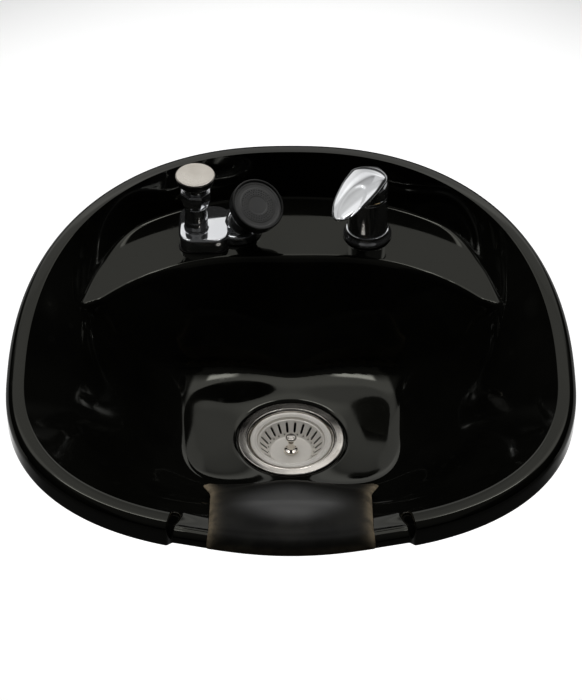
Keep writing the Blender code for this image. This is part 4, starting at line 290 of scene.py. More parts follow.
def grid_quads(rows: int, columns: int, close_rows: bool, close_columns: bool) -> ndarray:
    """Corner numbers of the quads over a grid of points stored row by row.

    Args:
        rows: Number of rows.
        columns: Number of columns.
        close_rows: Whether the last row joins the first.
        close_columns: Whether the last column joins the first.

    Returns:
        One row of four corner numbers per quad.
    """
    row = np.arange(rows if close_rows else rows - 1)
    column = np.arange(columns if close_columns else columns - 1)
    row, column = np.meshgrid(row, column, indexing="ij")
    next_row, next_column = (row + 1) % rows, (column + 1) % columns
    corners = [row * columns + column, row * columns + next_column,
               next_row * columns + next_column, next_row * columns + column]
    return np.stack(corners, axis=-1).reshape(-1, 4)


def shade(piece: Object, crease: float) -> None:
    """Smooth shading that breaks at creases.

    Args:
        piece: A mesh object.
        crease: Angle in degrees from which an edge stays sharp.
    """
    piece.data.shade_smooth()
    piece.data.set_sharp_from_angle(angle=math.radians(crease))


def mesh_piece(name: str, points: ndarray, faces: ndarray | list, crease: float = 40.0,
               mask: ndarray | None = None) -> Object:
    """An object from points and faces, with doubles merged and its faces turned outward.

    Args:
        name: Name of the piece.
        points: One row per point.
        faces: Corner numbers of each face.
        crease: Angle in degrees from which an edge stays sharp.
        mask: A value from 0 to 1 at each point, kept as the attribute "mask".

    Returns:
        The object, at the origin.
    """
    mesh = bpy.data.meshes.new(name)
    mesh.from_pydata(np.asarray(points).tolist(), [], np.asarray(faces).tolist()
                     if isinstance(faces, ndarray) else faces)
    if mask is not None:
        mesh.attributes.new("mask", "FLOAT", "POINT").data.foreach_set("value", mask.ravel())
    sheet = bmesh.new()
    sheet.from_mesh(mesh)
    bmesh.ops.remove_doubles(sheet, verts=sheet.verts, dist=WELD)
    bmesh.ops.dissolve_degenerate(sheet, edges=sheet.edges, dist=WELD)
    bmesh.ops.recalc_face_normals(sheet, faces=sheet.faces)
    sheet.to_mesh(mesh)
    sheet.free()
    piece = bpy.data.objects.new(name, mesh)
    bpy.context.scene.collection.objects.link(piece)
    shade(piece, crease)
    return piece


def placed(points: ndarray, place: Matrix) -> ndarray:
    """Points carried into the frame by a place.

    Args:
        points: Array whose last axis is X, Y, Z in the place's own axes.
        place: Where those axes stand.

    Returns:
        The points in the frame.
    """
    matrix = np.array(place)
    return points @ matrix[:3, :3].T + matrix[:3, 3]


def facet_reach(angles: ndarray, flats: int) -> ndarray:
    """Distance to a regular polygon's edge, as a multiple of the distance to its flats.

    Args:
        angles: Angles round its middle.
        flats: Number of its sides.

    Returns:
        1 over the cosine of the angle from the nearest flat's middle.
    """
    pitch = TAU / flats
    return 1.0 / np.cos((angles + pitch / 2) % pitch - pitch / 2)


def turned(name: str, path: ndarray, place: Matrix, sides: int = 96, closed: bool = False,
           flats: int = 0, flat_rows: ndarray | None = None,
           crease: float = 40.0) -> Object:
    """A turned piece: a path of (radius, height) carried round its place's Z axis.

    Where flats are asked for, the radius is that of a polygon's flats there.

    Args:
        name: Name of the piece.
        path: Points of the path.
        place: Its own axes in the frame.
        sides: Steps round the axis.
        closed: Whether the path is a ring that doesn't touch the axis.
        flats: Number of flats, or none.
        flat_rows: How far each point of the path takes the polygon's shape, from 0 to 1.
        crease: Angle in degrees from which an edge stays sharp.

    Returns:
        The object.
    """
    angles = np.arange(sides) * TAU / sides
    radius = np.repeat(path[:, :1], sides, axis=1)
    if flats:
        share = np.ones(len(path)) if flat_rows is None else flat_rows
        radius = radius * (1.0 + share[:, None] * (facet_reach(angles, flats)[None, :] - 1.0))
    height = np.repeat(path[:, 1:2], sides, axis=1)
    points = np.stack([radius * np.cos(angles), radius * np.sin(angles), height], axis=-1)
    quads = grid_quads(len(path), sides, closed, True)
    return mesh_piece(name, placed(points, place).reshape(-1, 3), quads, crease)


def rod(radius: float, low: float, high: float, place: Matrix, sides: int) -> Object:
    """A plain rod along a place's Z axis, to cut with."""
    path = np.array([(0, low), (radius, low), (radius, high), (0, high)])
    return turned("rod", path, place, sides)


def join(piece: Object, other: Object, how: Join, crease: float = 40.0) -> None:
    """Add a solid to a piece or take it away, and keep only the result.

    Args:
        piece: The piece that stays.
        other: The solid that is used up.
        how: Union or difference.
        crease: Angle in degrees from which an edge stays sharp.
    """
    change = piece.modifiers.new("join", "BOOLEAN")
    change.operation = how.value
    change.object = other
    change.solver = "EXACT"
    graph = bpy.context.evaluated_depsgraph_get()
    result = bpy.data.meshes.new_from_object(piece.evaluated_get(graph), depsgraph=graph)
    before = piece.data
    piece.modifiers.clear()
    piece.data = result
    bpy.data.meshes.remove(before)
    bpy.data.objects.remove(other, do_unlink=True)
    result.name = piece.name
    shade(piece, crease)


def over_drain(x: float, y: float, z: float) -> Matrix:
    """An upright place set out from the middle of the drain."""
    return Matrix.Translation(Vector(DRAIN + np.array([x, y, z])))


# Finishes

class Graph:
    """Lays nodes into a tree."""

    def __init__(self, tree: NodeTree) -> None:
        """Start laying nodes.

        Args:
            tree: The tree to fill.
        """
        self.tree = tree

    def add(self, kind: str, inputs: dict | None = None, **settings: object) -> Node:
        """Add a shader node.

        Args:
            kind: Its type without the leading ShaderNode.
            inputs: A socket or a plain value for each input, by name or number.
            settings: Properties of the node.

        Returns:
            The node.
        """
        node = self.tree.nodes.new(f"ShaderNode{kind}")
        for key, value in settings.items():
            setattr(node, key, value)
        return self.fill(node, inputs or {})

    def fill(self, node: Node, inputs: dict) -> Node:
        """Feed a node's inputs by name or number, and return the node."""
        for key, value in inputs.items():
            self.feed(node.inputs[key], value)
        return node

    def feed(self, socket: NodeSocket, value: object) -> None:
        """Link a socket into another, or set its plain value."""
        if isinstance(value, NodeSocket):
            self.tree.links.new(value, socket)
        else:
            socket.default_value = value

    def noise(self, vector: object, scale: float, detail: float = 3.0,
              roughness: float = 0.5) -> NodeSocket:
        """A noise value from 0 to 1, mostly near its middle."""
        return self.add("TexNoise", {"Vector": vector, "Scale": scale, "Detail": detail,
                                     "Roughness": roughness}).outputs[0]

    def remap(self, value: object, low: float, high: float, to_low: object,
              to_high: object) -> NodeSocket:
        """A value eased from one range to another."""
        return self.add("MapRange", {"Value": value, "From Min": low, "From Max": high,
                                     "To Min": to_low, "To Max": to_high},
                        interpolation_type="SMOOTHSTEP").outputs[0]

    def maths(self, operation: str, first: object, second: object = 0.0) -> NodeSocket:
        """Arithmetic on two values."""
        return self.add("Math", {0: first, 1: second}, operation=operation).outputs[0]

    def times(self, *values: object) -> NodeSocket:
        """The product of several values."""
        return reduce(lambda first, second: self.maths("MULTIPLY", first, second), values)

    def largest(self, *values: object) -> NodeSocket:
        """The largest of several values."""
        return reduce(lambda first, second: self.maths("MAXIMUM", first, second), values)

    def vector(self, operation: str, inputs: dict, result: str = "Vector") -> NodeSocket:
        """Arithmetic on vectors."""
        return self.add("VectorMath", inputs, operation=operation).outputs[result]

    def mask(self) -> NodeSocket:
        """The piece's own attribute "mask"."""
        return self.add("Attribute", attribute_name="mask").outputs["Fac"]

    def tint(self, share: object, first: object, second: object) -> NodeSocket:
        """A mix of two colours."""
        return self.add("Mix", {0: share, 6: first, 7: second}, data_type="RGBA").outputs[2]

    def bump(self, height: object, distance: float, strength: float = 1.0,
             normal: object = None) -> NodeSocket:
        """A normal bent by a height."""
        inputs = {"Height": height, "Distance": distance, "Strength": strength}
        if normal is not None:
            inputs["Normal"] = normal
        return self.add("Bump", inputs).outputs[0]


def node_group(name: str, inputs: dict[str, float | tuple],
               outputs: tuple[str, ...]) -> tuple[Graph, dict, dict]:
    """An empty shader node group with named sockets.

    Args:
        name: Name of the group.
        inputs: Default of each input; a tuple makes a vector.
        outputs: Names of the outputs, all plain values.

    Returns:
        A graph over its tree, its input sockets by name and its output sockets by name.
    """
    tree = bpy.data.node_groups.new(name, "ShaderNodeTree")
    for label, default in inputs.items():
        kind = "NodeSocketVector" if isinstance(default, tuple) else "NodeSocketFloat"
        socket = tree.interface.new_socket(name=label, in_out="INPUT", socket_type=kind)
        socket.default_value = default
    for label in outputs:
        tree.interface.new_socket(name=label, in_out="OUTPUT", socket_type="NodeSocketFloat")
    entry = tree.nodes.new("NodeGroupInput")
    leave = tree.nodes.new("NodeGroupOutput")
    return Graph(tree), {s.name: s for s in entry.outputs}, {s.name: s for s in leave.inputs}


class Effects:
    """Surface effects that several finishes share, each built once as a node group."""

    @staticmethod
    def use(graph: Graph, effect: Callable[[], NodeTree], inputs: dict) -> Node:
        """Place an effect in a material.

        Args:
            graph: The material's graph.
            effect: One of the effects below.
            inputs: Values of the group's inputs.

        Returns:
            The group node.
        """
        node = graph.tree.nodes.new("ShaderNodeGroup")
        node.node_tree = effect()
        return graph.fill(node, inputs)

    @staticmethod
    def cloud(graph: Graph, place: object, scale: float, low: float = 0.0,
              high: float = 1.0) -> NodeSocket:
        """Cloudy variation between two values, from the mottle effect."""
        return Effects.use(graph, Effects.mottle, {
            "Vector": place, "Scale": scale, "Low": low, "High": high}).outputs["Value"]

    @staticmethod
    @cache
    def mottle() -> NodeTree:
        """Cloudy variation between two values."""
        graph, given, out = node_group(
            "mottle", {"Vector": ORIGIN, "Scale": 20.0, "Low": 0.0, "High": 1.0},
            ("Value", "Height"))
        cloud = graph.noise(given["Vector"], given["Scale"], 4.0, 0.55)
        graph.feed(out["Value"], graph.remap(cloud, 0.32, 0.68, given["Low"], given["High"]))
        graph.feed(out["Height"], cloud)
        return graph.tree

    @staticmethod
    @cache
    def turned_lines() -> NodeTree:
        """Fine lines that run round an axis, as a lathe or a polishing wheel leaves them.

        Noise is read at the distance from the axis times the number of lines, with a slow drift
        round the axis that keeps the lines from closing on themselves.
        """
        graph, given, out = node_group(
            "turned lines", {"Vector": ORIGIN, "Lines": 3000.0, "Low": 0.0, "High": 1.0},
            ("Value", "Height"))
        x, y, z = graph.add("SeparateXYZ", {0: given["Vector"]}).outputs
        reach = graph.maths("SQRT", graph.maths("ADD", graph.times(x, x), graph.times(y, y)))
        turn = graph.maths("ARCTAN2", y, x)
        drift = 1.4
        place = graph.add("CombineXYZ", {
            0: graph.times(reach, given["Lines"]),
            1: graph.times(graph.maths("COSINE", turn), drift),
            2: graph.maths("ADD", graph.times(z, given["Lines"]),
                           graph.times(graph.maths("SINE", turn), drift))}).outputs[0]
        line = graph.noise(place, 1.0, 2.0, 0.6)
        graph.feed(out["Value"], graph.remap(line, 0.3, 0.7, given["Low"], given["High"]))
        graph.feed(out["Height"], line)
        return graph.tree

    @staticmethod
    @cache
    def spots() -> NodeTree:
        """Dried water spots: faint rings about scattered points, missing in places."""
        graph, given, out = node_group(
            "water spots", {"Vector": ORIGIN, "Scale": 60.0, "Amount": 1.0}, ("Mask",))
        cell = graph.add("TexVoronoi", {"Vector": given["Vector"], "Scale": given["Scale"]})
        reach = cell.outputs["Distance"]
        inner = graph.remap(reach, 0.10, 0.17, 0.0, 1.0)
        outer = graph.remap(reach, 0.17, 0.24, 1.0, 0.0)
        patch = graph.remap(graph.noise(given["Vector"], 14.0), 0.48, 0.62, 0.0, 1.0)
        graph.feed(out["Mask"], graph.times(inner, outer, patch, given["Amount"]))
        return graph.tree

    @staticmethod
    @cache
    def dust() -> NodeTree:
        """A dust film that lies on faces turned up, thicker in clouds."""
        graph, given, out = node_group(
            "dust", {"Vector": ORIGIN, "Normal": (0.0, 0.0, 1.0), "Amount": 0.3}, ("Mask",))
        up = graph.add("SeparateXYZ", {0: given["Normal"]}).outputs[2]
        lying = graph.remap(up, 0.1, 0.9, 0.0, 1.0)
        cloud = graph.remap(graph.noise(given["Vector"], 45.0, 5.0, 0.65), 0.35, 0.75, 0.25, 1.0)
        speck = graph.remap(graph.noise(given["Vector"], 900.0, 2.0), 0.6, 0.75, 0.6, 1.6)
        graph.feed(out["Mask"], graph.times(lying, cloud, speck, given["Amount"]))
        return graph.tree


def blank_material(name: str) -> tuple[Material, Graph, Node, object]:
    """A new material with its graph, its Principled shader and object coordinates.

    Args:
        name: Name of the material.

    Returns:
        The material, a graph over its tree, the shader node and the coordinate socket.
    """
    material = bpy.data.materials.new(name)
    material.use_nodes = True
    graph = Graph(material.node_tree)
    shader = material.node_tree.nodes["Principled BSDF"]
    return material, graph, shader, graph.add("TexCoord").outputs["Object"]


def rgba(colour: Triple) -> tuple[float, float, float, float]:
    """A colour with full alpha."""
    return (*colour, 1.0)


def in_frame(spot: Pair) -> Pair:
    """Plan place in the frame of a spot that is set out from the drain."""
    return float(DRAIN[0]) + spot[0], float(DRAIN[1]) + spot[1]


@dataclass(frozen=True)
class Glaze:
    """Black gloss casting: deep colour, a faint orange peel and dried water spots.

    The slight forward fall of the deck and of the floor is given to their shading, by the mask.
    """

    name: str = "black glaze"
    deep: Triple = (0.0022, 0.0022, 0.0018)
    light: Triple = (0.0042, 0.0042, 0.0034)
    cloud_scale: float = 9.0
    spot: Triple = (0.007, 0.007, 0.006)
    spot_scale: float = 55.0
    spot_amount: float = 0.5
    spot_rough: float = 0.12
    rough: Pair = (0.035, 0.085)
    haze_scale: float = 17.0
    refraction: float = 1.52
    reflection: Triple = (1.0, 1.0, 0.88)
    wave: float = 0.00022
    peel: float = 0.000006
    deck_lean: Triple = (0.0, -0.19, 0.0)

    def material(self) -> Material:
        """The glaze's material."""
        material, graph, shader, place = blank_material(self.name)
        cloud = Effects.cloud(graph, place, self.cloud_scale)
        spots = Effects.use(graph, Effects.spots, {
            "Vector": place, "Scale": self.spot_scale,
            "Amount": self.spot_amount}).outputs["Mask"]
        body = graph.tint(cloud, rgba(self.deep), rgba(self.light))
        haze = Effects.cloud(graph, place, self.haze_scale, *self.rough)
        wave = graph.bump(graph.noise(place, 7.0, 1.0), self.wave)
        peel = graph.bump(graph.noise(place, 260.0, 2.0), self.peel, 1.0, wave)
        lean = graph.vector("SCALE", {0: self.deck_lean, "Scale": graph.mask()})
        leant = graph.vector("ADD", {0: peel, 1: lean})
        graph.fill(shader, {
            "Base Color": graph.tint(spots, body, rgba(self.spot)),
            "Roughness": graph.maths("ADD", haze, graph.times(spots, self.spot_rough)),
            "IOR": self.refraction,
            "Specular Tint": rgba(self.reflection),
            "Normal": graph.vector("NORMALIZE", {0: leant})})
        return material


@dataclass(frozen=True)
class Metal:
    """Bare or plated metal: brush lines, cloudy smudges and a slight unevenness."""

    name: str
    tint: Triple
    shadow: Triple
    rough: Pair
    brush: Brush = Brush.NONE
    lines: float = 3000.0
    depth: float = 0.000004
    centre: Pair = (0.0, 0.0)
    patch: float = 35.0
    pits: float = 0.0
    metallic: float = 1.0
    # Painted shade: below this height the colour darkens to a near black, fading in over the given
    # fade.
    painted_shade_below: float | None = None
    painted_shade: Triple = (0.020, 0.018, 0.015)
    painted_shade_fade: float = 2 * MM

    def material(self) -> Material:
        """The metal's material."""
        material, graph, shader, place = blank_material(self.name)
        share = Effects.cloud(graph, place, self.patch)
        body = graph.tint(share, rgba(self.tint), rgba(self.shadow))
        rough = graph.remap(share, 0.0, 1.0, *self.rough)
        # Painted shade: the colour turns near black below a height, as shade deep in a cup.
        if self.painted_shade_below is not None:
            rise = graph.add("SeparateXYZ", {0: place}).outputs["Z"]
            painted_shade = graph.remap(rise, self.painted_shade_below - self.painted_shade_fade, self.painted_shade_below,
                                1.0, 0.0)
            body = graph.tint(painted_shade, body, rgba(self.painted_shade))
        if self.brush is Brush.NONE:
            height = graph.noise(place, 400.0, 2.0)
        else:
            shift = (-self.centre[0], -self.centre[1], 0.0)
            middle = graph.add("Mapping", {"Vector": place, "Location": shift},
                               vector_type="POINT").outputs[0]
            lines = Effects.use(graph, Effects.turned_lines, {
                "Vector": middle, "Lines": self.lines, "Low": 0.85, "High": 1.2})
            rough = graph.times(rough, lines.outputs["Value"])
            height = lines.outputs["Height"]
        normal = graph.bump(height, self.depth)
        if self.pits:
            normal = graph.bump(graph.noise(place, 700.0, 4.0, 0.6), self.pits, 1.0, normal)
        graph.fill(shader, {"Metallic": self.metallic, "Base Color": body, "Roughness": rough,
                            "Normal": normal})
        return material


@dataclass(frozen=True)
class Moulded:
    """Moulded or coated material: grain, cloudy colour and dust on top."""

    name: str
    colour: Triple
    pale: Triple
    rough: Pair
    grain: float = 900.0
    depth: float = 0.00002
    dust: float = 0.15
    dust_colour: Triple = (0.30, 0.28, 0.25)
    dust_rough: float = 0.35
    cloud_scale: float = 30.0

    def material(self) -> Material:
        """The moulded finish's material."""
        material, graph, shader, place = blank_material(self.name)
        cloud = Effects.cloud(graph, place, self.cloud_scale)
        facing = graph.add("NewGeometry").outputs["Normal"]
        film = Effects.use(graph, Effects.dust, {
            "Vector": place, "Normal": facing, "Amount": self.dust}).outputs["Mask"]
        body = graph.tint(cloud, rgba(self.colour), rgba(self.pale))
        rough = graph.remap(cloud, 0.0, 1.0, *self.rough)
        graph.fill(shader, {
            "Base Color": graph.tint(film, body, rgba(self.dust_colour)),
            "Roughness": graph.maths("ADD", rough, graph.times(film, self.dust_rough)),
            "Normal": graph.bump(graph.noise(place, self.grain, 3.0, 0.6), self.depth)})
        return material


@dataclass(frozen=True)
class SaddleRubber:
    """The neck rest's rubber: dull black, rubbed glossy on its crown, its edges brown dust and
    painted glow.
    """

    name: str = "neck rest rubber"
    dark: Triple = (0.0065, 0.0064, 0.0056)
    grey: Triple = (0.015, 0.0145, 0.0125)
    # Brown of the edges: dust, together with a painted glow of light through the thin rubber.
    edge: Triple = (0.27, 0.22, 0.15)
    edge_rough: float = 0.3
    crown: Triple = (0.0, -0.478, 0.060)
    worn_reach: Triple = (0.066, 0.036, 0.060)
    worn_fade: Pair = (0.25, 1.15)
    worn_rough: Pair = (0.08, -0.02)
    rough: Pair = (0.30, 0.42)
    gloss: Pair = (0.10, 1.0)
    refraction: float = 1.5
    pebble: float = 0.00005
    lump: float = 0.0003

    def material(self) -> Material:
        """The rubber's material, which reads the piece's mask for its edges."""
        material, graph, shader, place = blank_material(self.name)
        # The mask paints the edges brown: dust, together with a painted glow of light through the
        # thin rubber.
        broken = graph.remap(graph.noise(place, 70.0, 5.0, 0.7), 0.30, 0.62, 0.35, 1.0)
        edge_dust_and_glow = graph.times(graph.mask(), broken)
        body = graph.tint(Effects.cloud(graph, place, 28.0), rgba(self.dark), rgba(self.grey))
        away = graph.vector("SUBTRACT", {0: place, 1: self.crown})
        away = graph.vector("DIVIDE", {0: away, 1: self.worn_reach})
        away = graph.vector("LENGTH", {0: away}, "Value")
        polish = graph.remap(away, *self.worn_fade, 1.0, 0.0)
        rough = graph.maths("ADD", Effects.cloud(graph, place, 16.0, *self.rough),
                            graph.remap(polish, 0.0, 1.0, *self.worn_rough))
        pebble = graph.bump(graph.noise(place, 1500.0, 3.0, 0.6), self.pebble)
        graph.fill(shader, {
            "Base Color": graph.tint(edge_dust_and_glow, body, rgba(self.edge)),
            "IOR": self.refraction,
            "Specular IOR Level": graph.remap(polish, 0.0, 1.0, *self.gloss),
            "Roughness": graph.maths("ADD", rough, graph.times(edge_dust_and_glow, self.edge_rough)),
            "Normal": graph.bump(graph.noise(place, 60.0, 2.0), self.lump, 1.0, pebble)})
        return material


Finish = Glaze | Metal | Moulded | SaddleRubber


FINISHES = {
    Slot.GLAZE: Glaze(),
    Slot.NECK_RUBBER: SaddleRubber(),
    Slot.SEAL_RUBBER: Moulded("seal rubber", (0.012, 0.012, 0.012), (0.022, 0.021, 0.020),
                              (0.55, 0.75), 1200.0, 0.00004, 0.12),
    Slot.CHROME: Metal("chrome", (0.90, 0.91, 0.92), (0.84, 0.85, 0.87), (0.025, 0.075),
                       depth=0.000001, metallic=0.96),
    Slot.POLISHED_STEEL: Metal("polished steel", (0.87, 0.825, 0.76), (0.80, 0.755, 0.69),
                               (0.06, 0.13), Brush.ROUND, 2600.0, 0.000002,
                               in_frame((0.0, 0.0))),
    Slot.BRUSHED_STEEL: Metal("brushed steel", (0.98, 0.94, 0.87), (0.90, 0.86, 0.79),
                              (0.36, 0.48), Brush.ROUND, 2200.0, 0.000006,
                              in_frame((0.0, 0.0)), metallic=0.38),
    Slot.BLACK_PLASTIC: Moulded("black plastic", (0.012, 0.012, 0.012), (0.020, 0.020, 0.019),
                                (0.34, 0.46), 1800.0, 0.000012, 0.05),
    Slot.NOZZLE_PLASTIC: Moulded("nozzle plastic", (0.072, 0.072, 0.072), (0.090, 0.090, 0.088),
                                 (0.42, 0.52), 1500.0, 0.00001, 0.06),
    Slot.WHITE_PLASTIC: Moulded("white plastic", (0.70, 0.70, 0.67), (0.78, 0.78, 0.76),
                                (0.35, 0.50), 900.0, 0.00001, 0.20),
    Slot.FIBRE: Moulded("fibre ring", (0.36, 0.20, 0.10), (0.50, 0.30, 0.16), (0.75, 0.9), 700.0,
                        0.00008, 0.15),
    Slot.BRASS: Metal("brass", (0.78, 0.58, 0.30), (0.52, 0.36, 0.18), (0.20, 0.42), Brush.ROUND,
                      1500.0, 0.000008, in_frame(MIXER_SPOT), 60.0),
    Slot.CERAMIC_DISC: Moulded("ceramic", (0.80, 0.80, 0.76), (0.88, 0.88, 0.85), (0.18, 0.28),
                               600.0, 0.000005, 0.05),
    Slot.ZINC_PLATED: Metal("zinc plate", (0.66, 0.67, 0.69), (0.52, 0.53, 0.54), (0.28, 0.46),
                            patch=90.0, depth=0.00001, pits=0.00001),
    Slot.BRONZE: Metal("bronze", (0.55, 0.36, 0.19), (0.36, 0.23, 0.12), (0.30, 0.48),
                       patch=80.0, depth=0.00001, pits=0.00002),
    Slot.COATED_STEEL: Moulded("coated steel", (0.016, 0.016, 0.017), (0.026, 0.026, 0.027),
                               (0.38, 0.52), 2600.0, 0.00006, 0.06),
}


@cache
def material_of(finish: Finish) -> Material:
    """The finish's material, made on first use."""
    return finish.material()


def put_on(piece: Object, finish: Finish) -> None:
    """Replace all of a piece's materials by one finish's."""
    piece.data.materials.clear()
    piece.data.materials.append(material_of(finish))


class Assembly:
    """A group of pieces that are built, dressed and reported together."""

    def dress(self, piece: Object, body: Body, slot: Slot, *nodes: str,
              finish: Finish | None = None) -> Object:
        """Finish a piece, let it ride on its body and stand for its nodes.

        Args:
            piece: The new piece.
            body: The body that it moves with.
            slot: The record's slot that its finish comes from.
            nodes: CAD nodes that it replaces.
            finish: Its finish where that isn't the slot's own.

        Returns:
            The piece.
        """
        put_on(piece, finish or FINISHES[slot])
        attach(piece, body.value)
        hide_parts(*nodes)
        LOG.info("%s: %d faces, on %s, for %s", piece.name, len(piece.data.polygons), body.value,
                 ", ".join(nodes))
        return piece


# The bowl

@dataclass
class Bowl(Assembly):
    """The glazed bowl: a height over plan polar coordinates, with a rim, a skirt and a wall."""

    half_width: float = 271 * MM
    back_reach: float = 249 * MM
    front_reach: float = 229 * MM
    widest_forward: float = 49 * MM
    back_power: float = 2.32
    front_power: float = 2.4
    rise_back: float = 190 * MM
    rise_front: float = 100 * MM
    wall: float = 12 * MM
    recess: float = 60 * MM
    floor_half_width: float = 110 * MM
    floor_back: float = 88 * MM
    floor_front: float = 80 * MM
    floor_power: float = 3.4
    floor_fall: float = 7 * MM
    floor_lean_share: float = 0.8
    deck_half_angle: float = 65.0
    deck_slope: float = 2.3
    deck_edge_round: float = 9 * MM
    deck_back_round: float = 4 * MM
    deck_edge_share: float = 0.444
    deck_tip_share: float = 0.77
    deck_edge_power: float = 1.5
    deck_edge_softness: float = 0.5
    deck_close_angle: float = 60.0
    deck_close_turn: float = 10.0
    deck_close_share: float = 0.2
    station_angles: Row = (0.0, 32.0, 50.0, 65.0, 90.0, 125.0, 150.0, 180.0)
    shoulder_shares: Row = (0.985, 0.970, 0.870, 0.815, 0.800, 0.780, 0.700, 0.600)
    shoulder_rises: Row = (0.130, 0.130, 0.130, 0.130, 0.100, 0.080, 0.067, 0.060)
    middle_rises: Row = (0.42, 0.42, 0.42, 0.47, 0.57, 0.55, 0.50, 0.50)
    middle_share: float = 0.55
    rim_flat: float = 8.5 * MM
    rim_flat_drop: float = 0.6 * MM
    rim_roll: float = 10.5 * MM
    rim_skirt: float = 29 * MM
    skirt_round: float = 3 * MM
    notch_half_width: float = 114 * MM
    notch_blend: float = 5 * MM
    lip_rise: float = 85 * MM
    lip_sag: float = 8 * MM
    notch_depth: float = 24 * MM
    dip_half_width: float = 205 * MM
    lip_flat: float = 2 * MM
    lip_roll: float = 9 * MM
    lip_skirt: float = 15 * MM
    seat_depth: float = 4 * MM
    hole_radius: float = 45 * MM
    seat_radius: float = 58 * MM
    seat_corner: float = 1.2 * MM
    row_stations: Row = (0.0, 0.16, 0.50, 0.68, 1.0)
    row_crowding: tuple[Triple, ...] = ((0.5, 0.05, 3.5), (0.68, 0.03, 1.5), (1.0, 0.06, 2.0),
                                        (0.16, 0.04, 0.8))
    edge_clear: float = 0.38
    out_shares: Row = (0.0, 0.5, 0.64, 1.0, 0.93)
    down_shares: Row = (1.3334, 1.05, 1.0, 1.0, 1.0)
    boss_places: tuple[Pair, ...] = ((-0.137, 0.155), (-0.137, 0.205), (0.137, 0.155),
                                     (0.137, 0.205))
    boss_radius: float = 14 * MM
    boss_height: float = 18 * MM
    boss_round: float = 1.5 * MM
    boss_hole: float = 4.3 * MM
    deck_holes: tuple[Triple, ...] = ((*MIXER_SPOT, 0.0175), (*BREAKER_SPOT, 0.0102),
                                      (-0.0634, 0.1943, 0.017))
    level_slope: float = 0.3
    level_band: float = 2 * MM
    floor_band: float = 8 * MM
    lean_end: float = 74 * MM
    lean_fade: float = 30 * MM
    notch_crowding: Pair = (0.02, 9.0)
    deck_tip_turn: float = 1.13
    deck_tip_crowding: Pair = (0.10, 1.0)
    meridians: int = 360
    inside_rows: int = 118
    outside_rows: int = 44
    band_steps: int = 5
    crease: float = 55.0

    def outline_radius(self, angles: ndarray, half_width: float, back: float, front: float,
                       back_power: float, front_power: float) -> ndarray:
        """Distance from a squared oval's middle to its edge: a superellipse read at plan angles.

        Args:
            angles: Plan angles.
            half_width: Reach to each side.
            back: Reach toward +Y.
            front: Reach toward -Y.
            back_power: Squareness behind.
            front_power: Squareness in front.

        Returns:
            The distances.
        """
        behind = np.sin(angles) > 0
        power = np.where(behind, back_power, front_power)
        across = np.abs(np.cos(angles) / half_width) ** power
        along = np.abs(np.sin(angles) / np.where(behind, back, front)) ** power
        return (across + along) ** (-1.0 / power)

    def rim_radius(self, angles: ndarray) -> ndarray:
        """Distance of the rim's inner edge from the middle of its widest line."""
        return self.outline_radius(angles, self.half_width, self.back_reach + self.widest_forward,
                                   self.front_reach - self.widest_forward, self.back_power,
                                   self.front_power)

    def rim_outline(self, angles: ndarray) -> tuple[ndarray, ndarray]:
        """Plan points of the rim's inner edge, from the drain."""
        radius = self.rim_radius(angles)
        return radius * np.cos(angles), radius * np.sin(angles) - self.widest_forward

    def rim_normal(self, angles: ndarray) -> tuple[ndarray, ndarray]:
        """Outward plan direction square to the rim's inner edge, by a small central difference.

        Args:
            angles: Plan angles.

        Returns:
            X and Y of the unit directions.
        """
        small = 1e-4
        ahead, behind = self.rim_outline(angles + small), self.rim_outline(angles - small)
        along_x, along_y = ahead[0] - behind[0], ahead[1] - behind[1]
        length = np.hypot(along_x, along_y)
        return along_y / length, -along_x / length

    def notch_amount(self, angles: ndarray) -> ndarray:
        """1 across the neck notch and 0 along the rim, eased between them.

        Args:
            angles: Plan angles.

        Returns:
            The shares.
        """
        x, y = self.rim_outline(angles)
        inside = smoothstep((self.notch_half_width + self.notch_blend - np.abs(x))
                            / self.notch_blend)
        return np.where(y < -self.widest_forward, inside, 0.0)

    def rim_plane(self, y: ndarray) -> ndarray:
        """Height of the sloped plane that the rim lies in."""
        slope = (self.rise_back - self.rise_front) / (self.back_reach + self.front_reach)
        return self.rise_front + slope * (y + self.front_reach)

    def rim_rise(self, angles: ndarray) -> ndarray:
        """Height of the rim's inner edge: the sloped plane, cut down to the lip at the notch.

        Args:
            angles: Plan angles.

        Returns:
            The heights over the drain.
        """
        x, y = self.rim_outline(angles)
        across = np.clip(x / self.notch_half_width, -1.0, 1.0)
        lip = self.lip_rise - self.lip_sag * (1.0 - across * across) ** 2
        notch = self.notch_amount(angles)
        return self.rim_plane(y) * (1.0 - notch) + lip * notch

    def wall_rise(self, angles: ndarray) -> ndarray:
        """Rim height with a wide, soft dip at the front, which the wall below the rim follows.

        Args:
            angles: Plan angles.

        Returns:
            The heights over the drain.
        """
        x, y = self.rim_outline(angles)
        dip = smoothstep(1.0 - np.abs(x) / self.dip_half_width)
        dip = np.where(y < -self.widest_forward, dip, 0.0)
        return self.rim_plane(y) * (1.0 - dip) + (self.lip_rise - self.lip_sag) * dip

    def edge_bend(self, from_back: ndarray) -> ndarray:
        """0 at the middle of the deck's edge and 1 at its tips: a power, made level at 0."""
        half, level = self.deck_edge_power / 2, self.deck_edge_softness ** 2
        turn = (from_back / self.deck_half_angle) ** 2
        return ((turn + level) ** half - level ** half) / ((1 + level) ** half - level ** half)

